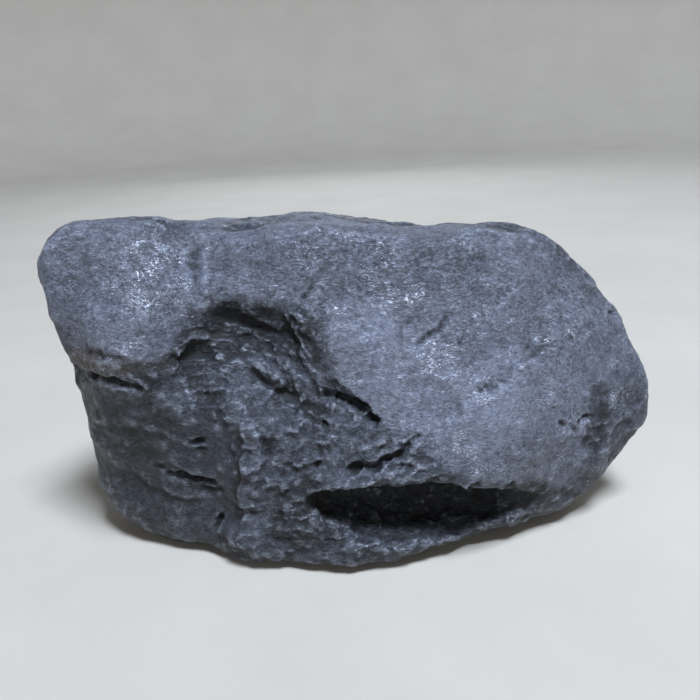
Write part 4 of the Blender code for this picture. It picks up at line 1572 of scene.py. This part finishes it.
def span_side(
    groups: dict[str, list[Point]],
    creases: Sequence[str],
    points: list[Point],
    faces: list[list[int]],
    flip: bool,
) -> None:
    """Spans one side of the cage over its landmarks, with an edge along every crease.

    Args:
        groups: The landmarks.
        creases: The groups whose landmarks form an edge, one after the other.
        points: The cage's points so far, the outline first; the landmarks are added.
        faces: The cage's faces so far; the side's faces are added.
        flip: Whether the side looks towards +Y.
    """
    plan = [Vector((x, z)) for x, _, z in OUTLINE]
    own: list[Point] = []
    edges = []
    for name, group in groups.items():
        first = len(plan)
        plan += [Vector((x, z)) for x, _, z in group]
        own += group
        if name in creases:
            edges += [(first + i, first + i + 1) for i in range(len(group) - 1)]
    rim = len(OUTLINE)
    _, _, triangles, sources, _, _ = delaunay_2d_cdt(plan, edges, [list(range(rim))], 1, 1e-7)
    shift = len(points) - rim
    points += own
    for triangle in triangles:
        corners = [sources[corner][0] for corner in triangle]
        corners = [corner if corner < rim else corner + shift for corner in corners]
        faces.append(corners[::-1] if flip else corners)


# ---------------------------------------------------------------- the finish


Colour = tuple[float, float, float]
Numbers = tuple[float, ...]
Socket = bpy.types.NodeSocket


class Nodes:
    """A node tree that is wired up in short steps."""

    def __init__(self, tree: bpy.types.NodeTree) -> None:
        """Takes the tree over.

        Args:
            tree: The tree.
        """
        self.tree = tree

    def add(self, kind: str, settings: dict[str, Any], inputs: dict[str | int, Any]) -> bpy.types.Node:
        """Adds a node.

        Args:
            kind: The node's type, without "ShaderNode".
            settings: The node's own settings.
            inputs: Values or sockets for its inputs, by name or number.

        Returns:
            The node.
        """
        node = self.tree.nodes.new("ShaderNode" + kind)
        for name, value in settings.items():
            setattr(node, name, value)
        for name, value in inputs.items():
            if isinstance(value, bpy.types.NodeSocket):
                self.tree.links.new(value, node.inputs[name])
            else:
                node.inputs[name].default_value = value
        return node

    def maths(self, how: str, *values: Any) -> Socket:
        """The result of a sum."""
        return self.add("Math", {"operation": how}, dict(enumerate(values))).outputs[0]

    def vectors(self, how: str, one: Any, two: Any, out: str = "Vector") -> Socket:
        """The result of a sum of vectors."""
        second = "Scale" if how == "SCALE" else 1
        return self.add("VectorMath", {"operation": how}, {0: one, second: two}).outputs[out]

    def weigh(self, *parts: tuple[Socket, Any]) -> Socket:
        """The sum of the parts, each times its weight.

        Args:
            parts: Pairs of a part and its weight.

        Returns:
            The sum.
        """
        first, weight = parts[0]
        total = self.maths("MULTIPLY", first, weight)
        for part, weight in parts[1:]:
            total = self.maths("MULTIPLY_ADD", part, weight, total)
        return total

    def feed(self, socket: Socket, shader: bpy.types.Node, name: str) -> None:
        """Joins a socket to a named input of the shader."""
        self.tree.links.new(socket, shader.inputs[name])

    def spread(
        self, value: Any, least: Any = 0.0, most: Any = 1.0, low: Any = 0.0, high: Any = 1.0
    ) -> Socket:
        """Maps low..high softly to least..most, and nothing beyond."""
        inputs = {"Value": value, "From Min": low, "From Max": high, "To Min": least, "To Max": most}
        return self.add("MapRange", {"interpolation_type": "SMOOTHSTEP"}, inputs).outputs["Result"]

    def noise(self, vector: Socket, scale: Any, detail: float, rough: float = 0.55) -> bpy.types.Node:
        """Cloudy noise with the given number of lumps to the metre."""
        inputs = {"Vector": vector, "Scale": scale, "Detail": detail, "Roughness": rough}
        return self.add("TexNoise", {}, inputs)

    def blend(self, share: Any, one: Any, two: Any) -> Socket:
        """A colour between two.

        Args:
            share: The share of the second colour.
            one: The first colour.
            two: The second colour.

        Returns:
            The blended colour.
        """
        inputs = {0: share, 6: one if isinstance(one, Socket) else (*one, 1)}
        inputs[7] = two if isinstance(two, Socket) else (*two, 1)
        return self.add("Mix", {"data_type": "RGBA"}, inputs).outputs[2]

    def marked(self, mark: str) -> Socket:
        """The number that the skin keeps under a name."""
        return self.add("Attribute", {"attribute_name": mark}, {}).outputs["Fac"]


class Group:
    """A shader node group with a Vector input, named numbers and one output."""

    def __init__(self, name: str, inputs: dict[str, float], output: str) -> None:
        """Makes the empty group.

        Args:
            name: The group's name.
            inputs: Its inputs and their usual values.
            output: The name of its output.
        """
        self.tree = bpy.data.node_groups.new(name, "ShaderNodeTree")
        self.tree.interface.new_socket("Vector", in_out="INPUT", socket_type="NodeSocketVector")
        for label, usual in inputs.items():
            socket = self.tree.interface.new_socket(label, in_out="INPUT", socket_type="NodeSocketFloat")
            socket.default_value = usual
        self.tree.interface.new_socket(output, in_out="OUTPUT", socket_type="NodeSocketFloat")
        self.nodes = Nodes(self.tree)
        self.inside = self.tree.nodes.new("NodeGroupInput").outputs
        self.out = self.tree.nodes.new("NodeGroupOutput").inputs[output]

    def scale(self, label: str) -> Socket:
        """How many of an input's millimetres go into a metre."""
        return self.nodes.maths("DIVIDE", 1 / MM, self.inside[label])

    def give(self, socket: Socket) -> "Group":
        """Puts the socket out and hands the group back."""
        self.tree.links.new(socket, self.out)
        return self

    def place(self, nodes: Nodes, inputs: dict[str, Any]) -> Socket:
        """Places the group in a material, on the object's own coordinates, with values of its own."""
        spots = nodes.add("TexCoord", {}, {}).outputs["Object"]
        return nodes.add("Group", {"node_tree": self.tree}, {"Vector": spots, **inputs}).outputs[0]


def make_clouds() -> Group:
    """Soft patches of about one size in millimetres; a higher Contrast gives firmer borders.

    Returns:
        The group.
    """
    group = Group("clouds", {"Size": 10.0, "Contrast": 0.5}, "Mask")
    lumps = group.nodes.noise(group.inside["Vector"], group.scale("Size"), 5.0, 0.6).outputs["Fac"]
    half = group.nodes.spread(group.inside["Contrast"], 0.30, 0.03)
    low = group.nodes.maths("SUBTRACT", 0.5, half)
    high = group.nodes.maths("ADD", 0.5, half)
    return group.give(group.nodes.spread(lumps, low=low, high=high))


# The lean and the place of each layer of fibres.
FIBRE_LAYERS = ((0.55, 0.0), (-0.6, 1.7), (1.45, 3.1))


def make_fibres() -> Group:
    """Short fibres that lie like felt. Length is in millimetres, Cover from 0 (none) to 1.

    Returns:
        The group.
    """
    group = Group("fibres", {"Length": 3.0, "Cover": 0.5}, "Mask")
    nodes = group.nodes
    swirl = nodes.noise(group.inside["Vector"], 70.0, 2.0).outputs["Color"]
    bent = nodes.vectors("ADD", group.inside["Vector"], nodes.vectors("SCALE", swirl, 0.011))
    scale = group.scale("Length")
    strands = []
    for lean, place in FIBRE_LAYERS:
        inputs = {"Vector": bent, "Location": (place, place, 0), "Rotation": (0.3, lean, 0)}
        laid = nodes.add("Mapping", {}, {**inputs, "Scale": (1, 4, 5)}).outputs[0]
        strands.append(nodes.noise(laid, scale, 2.0, 0.6).outputs["Fac"])
    best = nodes.maths("MAXIMUM", nodes.maths("MAXIMUM", strands[0], strands[1]), strands[2])
    low = nodes.spread(group.inside["Cover"], 0.86, 0.50)
    high = nodes.maths("ADD", low, 0.07)
    return group.give(nodes.spread(best, low=low, high=high))


def make_chips() -> Group:
    """Small flat chips that lean every way and meet in crisp edges. Size is in millimetres.

    Returns:
        The group.
    """
    group = Group("chips", {"Size": 2.0}, "Height")
    nodes = group.nodes
    swirl = nodes.noise(group.inside["Vector"], 300.0, 3.0).outputs["Color"]
    bent = nodes.vectors("ADD", group.inside["Vector"], nodes.vectors("SCALE", swirl, 0.0012))
    inputs = {"Vector": bent, "Rotation": (0.2, 0.25, 0), "Scale": (0.6, 1, 1.3)}
    laid = nodes.add("Mapping", {}, inputs).outputs[0]
    scale = group.scale("Size")
    cells = nodes.add("TexVoronoi", {}, {"Vector": laid, "Scale": scale, "Randomness": 1.0}).outputs
    offset = nodes.vectors("SCALE", nodes.vectors("SUBTRACT", laid, cells["Position"]), scale)
    lean = nodes.vectors("SUBTRACT", cells["Color"], (0.5, 0.5, 0.5))
    return group.give(nodes.vectors("DOT_PRODUCT", offset, lean, "Value"))


def make_grain() -> Group:
    """Crisp uneven ground. Size is in millimetres, Crisp from 0 (rounded) to 1 (sharp ridges).

    Returns:
        The group.
    """
    group = Group("grain", {"Size": 2.0, "Crisp": 0.5}, "Height")
    nodes = group.nodes
    rounded = nodes.noise(group.inside["Vector"], group.scale("Size"), 6.0, 0.62).outputs["Fac"]
    ridged = nodes.maths("ABSOLUTE", nodes.maths("SUBTRACT", rounded, 0.5))
    ridged = nodes.maths("SUBTRACT", 0.5, nodes.maths("MULTIPLY", ridged, 2.0))
    sharp = nodes.maths("MULTIPLY", ridged, group.inside["Crisp"])
    dull = nodes.maths("MULTIPLY", rounded, nodes.maths("SUBTRACT", 1.0, group.inside["Crisp"]))
    return group.give(nodes.maths("ADD", sharp, dull))


@dataclass(frozen=True)
class Effects:
    """The effects that the materials share, each built once.

    Attributes:
        clouds: Soft patches.
        fibres: Short fibres like felt.
        chips: Small flat chips.
        grain: Uneven ground.
    """

    clouds: Group = field(default_factory=make_clouds)
    fibres: Group = field(default_factory=make_fibres)
    chips: Group = field(default_factory=make_chips)
    grain: Group = field(default_factory=make_grain)

    def patches(self, nodes: Nodes, size: float, contrast: float) -> Socket:
        """Soft patches on a material."""
        return self.clouds.place(nodes, {"Size": size, "Contrast": contrast})

    def threads(self, nodes: Nodes, length: float, cover: Any) -> Socket:
        """Short fibres on a material."""
        return self.fibres.place(nodes, {"Length": length, "Cover": cover})

    def plates(self, nodes: Nodes, size: float) -> Socket:
        """Small flat chips on a material."""
        return self.chips.place(nodes, {"Size": size})

    def ground(self, nodes: Nodes, size: float, crisp: float) -> Socket:
        """Uneven ground on a material."""
        return self.grain.place(nodes, {"Size": size, "Crisp": crisp})


def new_material(name: str) -> tuple[bpy.types.Material, Nodes, bpy.types.Node]:
    """Starts a material.

    Args:
        name: The material's name.

    Returns:
        The material, its nodes and its shader.
    """
    material = bpy.data.materials.new(name)
    material.use_nodes = True
    return material, Nodes(material.node_tree), material.node_tree.nodes["Principled BSDF"]


@dataclass(frozen=True)
class ShungiteFinish:
    """Dull grey worn skin with silvery fibres, and darker, crisper fresh breaks, with painted shade in
    crevices and painted highlights and glints.

    Attributes:
        worn_dark: The darker patches of the worn skin.
        worn_light: Its lighter patches.
        broken_dark: The darker patches of the breaks.
        broken_light: Their lighter patches.
        edge: The painted highlight on ridges.
        silver_and_glint: The bright silvery fibres and rubbed spots, partly painted glints.
        painted_shade: The near-black painted shade of crevices and of the dark bands.
        earth: The faint brownish patches of the worn skin.
        rust: The brown dust in one crevice.
        metal: How metallic the stone is, and how metallic its bright fibres are.
        roughness: The roughness of the breaks, and of the worn skin.
        crevice_dust: How much rougher the crevices are.
        silver_polish: How much smoother the bright fibres are.
        flocks: Size and contrast of the flocks of bright fibres.
        flock_cover: The cover of the fibres between the flocks, and how much more is in them.
        break_cover: The share of that cover on the breaks, and on worn skin.
        scuff_and_glint_cover: How much more cover a scuff with its painted glints has.
        thin_fibres: Length and brightness of the fibres on the skin.
        edge_glints: Length, cover and brightness of the fibres of painted glints along edges.
        mottling: Size, contrast and weight of the light patches, from broad ones to specks.
        felt: Length, cover and weight of the faint fibres in the colour.
        light_shade_and_tone_weights: How far a band of painted light lightens the skin, and how far a band of
            painted shade sinks into the near-black painted shade.
        earth_patches: Size, contrast and strength of the brownish patches.
        edge_highlight: Power and strength of the painted highlight along ridges.
        rust_strength: The strength of the brown dust.
        crevice_shade_strength: The strength of the painted shade in crevices.
        soft_grain: Size, crispness and height of the rounded grain.
        hard_grain: Size and crispness of the crisp grain, its height on breaks and on smooth skin.
        large_chips: Size of the larger chips, their height on breaks and on smooth skin.
        small_chips: The same of the smaller chips.
        felt_height: The height of the faint fibres.
    """

    worn_dark: Colour = (0.030, 0.033, 0.042)
    worn_light: Colour = (0.193, 0.212, 0.275)
    broken_dark: Colour = (0.009, 0.011, 0.014)
    broken_light: Colour = (0.084, 0.092, 0.117)
    # Painted highlight on ridges.
    edge: Colour = (0.235, 0.257, 0.318)
    # Bright silvery fibres and rubbed spots, partly painted glints.
    silver_and_glint: Colour = (0.56, 0.60, 0.69)
    # Near-black painted shade for crevices and dark bands.
    painted_shade: Colour = (0.008, 0.008, 0.009)
    earth: Colour = (0.080, 0.072, 0.078)
    rust: Colour = (0.085, 0.060, 0.040)
    metal: Numbers = (0.25, 0.8)
    roughness: Numbers = (0.42, 0.56)
    crevice_dust: float = 0.25
    silver_polish: float = 0.18
    flocks: Numbers = (14.0, 0.55)
    flock_cover: Numbers = (0.22, 0.40)
    break_cover: Numbers = (0.45, 1.0)
    scuff_and_glint_cover: float = 0.14
    thin_fibres: Numbers = (1.9, 0.75)
    edge_glints: Numbers = (2.2, 0.75, 0.40)
    mottling: tuple[Numbers, ...] = ((26.0, 0.25, 0.22), (4.0, 0.45, 0.24), (1.1, 0.5, 0.30))
    felt: Numbers = (2.6, 0.85, 0.24)
    light_shade_and_tone_weights: Numbers = (0.30, -0.5)
    earth_patches: Numbers = (17.0, 0.35, 0.30)
    edge_highlight: Numbers = (1.6, 0.34)
    rust_strength: float = 0.5
    crevice_shade_strength: float = 0.9
    soft_grain: Numbers = (1.2, 0.3, 0.75)
    hard_grain: Numbers = (2.6, 0.85, 0.50, 0.30)
    large_chips: Numbers = (3.4, 1.60, 0.45)
    small_chips: Numbers = (1.3, 0.45, 0.42)
    felt_height: float = 0.10

    def make(self, effects: Effects) -> bpy.types.Material:
        """Makes the material.

        Args:
            effects: The shared effects.

        Returns:
            The material.
        """
        material, nodes, shader = new_material("shungite")
        crevice = nodes.marked("crevice")
        silver_and_glint = self._silver_and_glint(nodes, effects)
        nodes.feed(self._colour(nodes, effects, silver_and_glint), shader, "Base Color")
        rough = nodes.spread(nodes.marked("worn"), *self.roughness)
        rough = nodes.maths("ADD", rough, nodes.maths("MULTIPLY", crevice, self.crevice_dust))
        rough = nodes.maths("SUBTRACT", rough, nodes.maths("MULTIPLY", silver_and_glint, self.silver_polish))
        nodes.feed(rough, shader, "Roughness")
        clean = nodes.spread(crevice, 1.0, 0.2)
        metallic = nodes.maths("MULTIPLY", nodes.spread(silver_and_glint, *self.metal), clean)
        nodes.feed(metallic, shader, "Metallic")
        nodes.feed(self._bump(nodes, effects), shader, "Normal")
        return material

    def _silver_and_glint(self, nodes: Nodes, effects: Effects) -> Socket:
        """Where the bright fibres, rubbed spots and painted glints are.

        Args:
            nodes: The material's nodes.
            effects: The shared effects.

        Returns:
            The mask, from 0 to 1.
        """
        least, more = self.flock_cover
        cover = nodes.maths("MULTIPLY_ADD", effects.patches(nodes, *self.flocks), more, least)
        share = nodes.spread(nodes.marked("worn"), *self.break_cover)
        cover = nodes.maths("MULTIPLY", cover, share)
        cover = nodes.maths("MULTIPLY_ADD", nodes.marked("scuff_and_glint"), self.scuff_and_glint_cover, cover)
        length, bright = self.thin_fibres
        thin = nodes.maths("MULTIPLY", effects.threads(nodes, length, cover), bright)
        # Painted glints in fibres along ridges.
        length, cover, bright = self.edge_glints
        along = nodes.maths("POWER", nodes.marked("ridge"), 2.0)
        along = nodes.maths("MULTIPLY", effects.threads(nodes, length, cover), along)
        both = nodes.maths("MAXIMUM", thin, nodes.maths("MULTIPLY", along, bright))
        clean = nodes.spread(nodes.marked("crevice"), 1.0, 0.0, 0.1, 0.6)
        return nodes.maths("MULTIPLY", both, clean)

    def _colour(self, nodes: Nodes, effects: Effects, silver_and_glint: Socket) -> Socket:
        """The colour over the skin.

        Args:
            nodes: The material's nodes.
            effects: The shared effects.
            silver_and_glint: Where the skin is bright with silvery fibres, rubbed spots and painted glints.

        Returns:
            The colour.
        """
        light_shade_and_tone, worn = nodes.marked("light_shade_and_tone"), nodes.marked("worn")
        lighter, darker = self.light_shade_and_tone_weights
        length, cover, weight = self.felt
        layers = [(effects.patches(nodes, size, firm), part) for size, firm, part in self.mottling]
        # The light bands add painted light to the share of the lighter colours.
        share = nodes.weigh(*layers, (effects.threads(nodes, length, cover), weight), (light_shade_and_tone, lighter))
        share = nodes.spread(share)
        size, firm, brown = self.earth_patches
        earthy = nodes.maths("MULTIPLY", effects.patches(nodes, size, firm), brown)
        skin = nodes.blend(earthy, nodes.blend(share, self.worn_dark, self.worn_light), self.earth)
        colour = nodes.blend(worn, nodes.blend(share, self.broken_dark, self.broken_light), skin)
        # The dark bands sink towards the near-black painted shade.
        colour = nodes.blend(nodes.maths("MULTIPLY", light_shade_and_tone, darker), colour, self.painted_shade)
        # Painted highlight on ridges, stronger the more they stand out.
        power, strength = self.edge_highlight
        edge_lit = nodes.maths("MULTIPLY", nodes.maths("POWER", nodes.marked("ridge"), power), strength)
        colour = nodes.blend(edge_lit, colour, self.edge)
        dusty = nodes.maths("MULTIPLY", nodes.marked("rust"), self.rust_strength)
        colour = nodes.blend(dusty, colour, self.rust)
        # Painted shade in crevices and recesses, darker the deeper they sink.
        crevice_shade = nodes.spread(nodes.marked("crevice"), 0.0, self.crevice_shade_strength, 0.1, 1.1)
        return nodes.blend(silver_and_glint, nodes.blend(crevice_shade, colour, self.painted_shade), self.silver_and_glint)

    def _bump(self, nodes: Nodes, effects: Effects) -> Socket:
        """The finest relief, in millimetres.

        Args:
            nodes: The material's nodes.
            effects: The shared effects.

        Returns:
            The bumped normal.
        """
        smooth = nodes.marked("smooth")
        length, cover, _ = self.felt
        soft_size, soft_crisp, soft_height = self.soft_grain
        hard_size, hard_crisp, *hard_heights = self.hard_grain
        parts = [
            (effects.ground(nodes, soft_size, soft_crisp), soft_height),
            (effects.ground(nodes, hard_size, hard_crisp), nodes.spread(smooth, *hard_heights)),
        ]
        for size, *heights in (self.large_chips, self.small_chips):
            parts.append((effects.plates(nodes, size), nodes.spread(smooth, *heights)))
        height = nodes.weigh(*parts, (effects.threads(nodes, length, cover), self.felt_height))
        return nodes.add("Bump", {}, {"Strength": 1.0, "Distance": MM, "Height": height}).outputs[0]


@dataclass(frozen=True)
class FloorFinish:
    """Pale matt plaster with a breath of unevenness.

    Attributes:
        colour: Its colour.
        shade: The colour of its slightly darker patches.
        roughness: Its roughness.
        patches: Size and contrast of the patches.
        grain: Size and crispness of its grain.
        bump: Strength and height of the grain.
    """

    colour: Colour = (0.50, 0.46, 0.40)
    shade: Colour = (0.46, 0.42, 0.365)
    roughness: float = 0.85
    patches: Numbers = (90.0, 0.1)
    grain: Numbers = (2.0, 0.0)
    bump: Numbers = (0.5, 0.1)

    def make(self, effects: Effects) -> bpy.types.Material:
        """Makes the material from the shared effects.

        Args:
            effects: The shared effects.

        Returns:
            The material.
        """
        material, nodes, shader = new_material("floor")
        patches = effects.patches(nodes, *self.patches)
        nodes.feed(nodes.blend(patches, self.shade, self.colour), shader, "Base Color")
        shader.inputs["Roughness"].default_value = self.roughness
        strength, reach = self.bump
        inputs = {"Strength": strength, "Distance": reach * MM, "Height": effects.ground(nodes, *self.grain)}
        bump = nodes.add("Bump", {}, inputs)
        nodes.feed(bump.outputs[0], shader, "Normal")
        return material


# ---------------------------------------------------------------- the studio


@dataclass(frozen=True)
class SoftLight:
    """A soft square light.

    Attributes:
        place: Where it stands, in metres.
        size: Its side, in metres.
        watts: Its power.
        colour: Its colour.
    """

    place: Point
    size: float
    watts: float
    colour: Colour

    def make(self, name: str, target: Vector) -> None:
        """Adds the light to the scene, turned to the target.

        Args:
            name: The light's name.
            target: Where it shines.
        """
        lamp = bpy.data.lights.new(name, "AREA")
        lamp.shape = "SQUARE"
        lamp.size = self.size
        lamp.energy = self.watts
        lamp.color = self.colour
        obj = show(name, lamp)
        obj.location = self.place
        obj.rotation_euler = (target - obj.location).to_track_quat("-Z", "Y").to_euler()


@dataclass(frozen=True)
class Studio:
    """A plain pale floor, soft lights and the camera.

    Attributes:
        floor_radius: Where the floor starts to rise, in metres.
        floor_bend: The radius of its rise, in metres.
        bend_steps: How many flat rings make up the rise.
        wall_height: How high its rim stands, in metres.
        round_steps: How many straight pieces make up the rim.
        camera_place: Where the camera stands, in metres.
        look_down: Degrees that it looks down.
        roll: Degrees that it is rolled.
        lens: Its focal length, in millimetres.
        film: The width of its film, in millimetres.
        sky: The colour of the weak light from everywhere.
        sky_strength: Its strength.
        aim: Where the lights shine, in metres.
        lights: The lights by name.
    """

    floor_radius: float = 1.4
    floor_bend: float = 0.4
    bend_steps: int = 12
    wall_height: float = 1.3
    round_steps: int = 96
    camera_place: Point = (-0.002, -0.260, 0.158)
    look_down: float = 20.5
    roll: float = -2.9
    lens: float = 37.03
    film: float = 36.0
    sky: Colour = (0.70, 0.80, 1.0)
    sky_strength: float = 0.05
    aim: Point = (0, 0, 0.05)
    lights: tuple[tuple[str, SoftLight], ...] = (
        ("key", SoftLight((0.36, -0.60, 2.0), 0.55, 78.0, (0.74, 0.84, 1.0))),
        ("front", SoftLight((0.10, -0.95, 0.55), 0.6, 0.2, (0.85, 0.90, 1.0))),
        ("rim", SoftLight((0.0, 0.95, 0.45), 0.6, 1.5, (0.80, 0.88, 1.0))),
    )

    def build(self, floor_material: bpy.types.Material) -> None:
        """Makes floor, lights, sky and camera.

        Args:
            floor_material: The floor's material.
        """
        self._floor(floor_material)
        for name, light in self.lights:
            light.make(name, Vector(self.aim))
        self._sky()
        self._camera()
        bpy.context.scene.view_settings.view_transform = "Standard"

    def _floor(self, material: bpy.types.Material) -> None:
        """A round floor whose rim curves up into a wall.

        Args:
            material: The floor's material.
        """
        form = bmesh.new()
        profile = [Vector((0, 0, 0)), Vector((self.floor_radius, 0, 0))]
        bend = self.floor_bend
        for step in range(1, self.bend_steps + 1):
            turn = math.pi / 2 * step / self.bend_steps
            out = self.floor_radius + bend * math.sin(turn)
            profile.append(Vector((out, 0, bend * (1 - math.cos(turn)))))
        profile.append(Vector((self.floor_radius + bend, 0, self.wall_height)))
        verts = [form.verts.new(point) for point in profile]
        edges = [form.edges.new(pair) for pair in zip(verts, verts[1:])]
        whole = 2 * math.pi
        pieces = self.round_steps
        bmesh.ops.spin(form, geom=verts + edges, cent=(0, 0, 0), axis=(0, 0, 1), angle=whole, steps=pieces)
        bmesh.ops.remove_doubles(form, verts=form.verts[:], dist=1e-5)
        bmesh.ops.recalc_face_normals(form, faces=form.faces[:])
        mesh = bpy.data.meshes.new("floor")
        form.to_mesh(mesh)
        form.free()
        mesh.shade_smooth()
        mesh.materials.append(material)
        floor = show("floor", mesh)

    def _sky(self) -> None:
        """A weak even light from everywhere."""
        world = bpy.data.worlds.new("sky")
        world.use_nodes = True
        sky = world.node_tree.nodes["Background"]
        sky.inputs["Color"].default_value = (*self.sky, 1)
        sky.inputs["Strength"].default_value = self.sky_strength
        bpy.context.scene.world = world

    def _camera(self) -> None:
        """The camera, close to the stone and a little above it."""
        camera = bpy.data.cameras.new("camera")
        camera.sensor_width = self.film
        camera.lens = self.lens
        camera.clip_start = 0.01
        obj = show("camera", camera)
        pitch = Euler((math.radians(90 - self.look_down), 0, 0)).to_matrix().to_4x4()
        roll = Matrix.Rotation(math.radians(self.roll), 4, "Z")
        obj.matrix_world = Matrix.Translation(self.camera_place) @ pitch @ roll
        bpy.context.scene.camera = obj


def main() -> None:
    """Builds the stone and the studio."""
    logging.basicConfig(level=logging.INFO, format="%(asctime)s %(name)s: %(message)s")
    effects = Effects()
    low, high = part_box(NODE)
    length, depth, height = (high - low) / MM
    stone = ShungiteStone(length, depth, height).build()
    stone.name = "stone"
    stone.data.materials.append(ShungiteFinish().make(effects))
    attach(stone, "root")
    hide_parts(NODE)
    LOG.info("stone: %d triangles", len(stone.data.polygons))
    Studio().build(FloorFinish().make(effects))


if __name__ == "__main__":
    main()
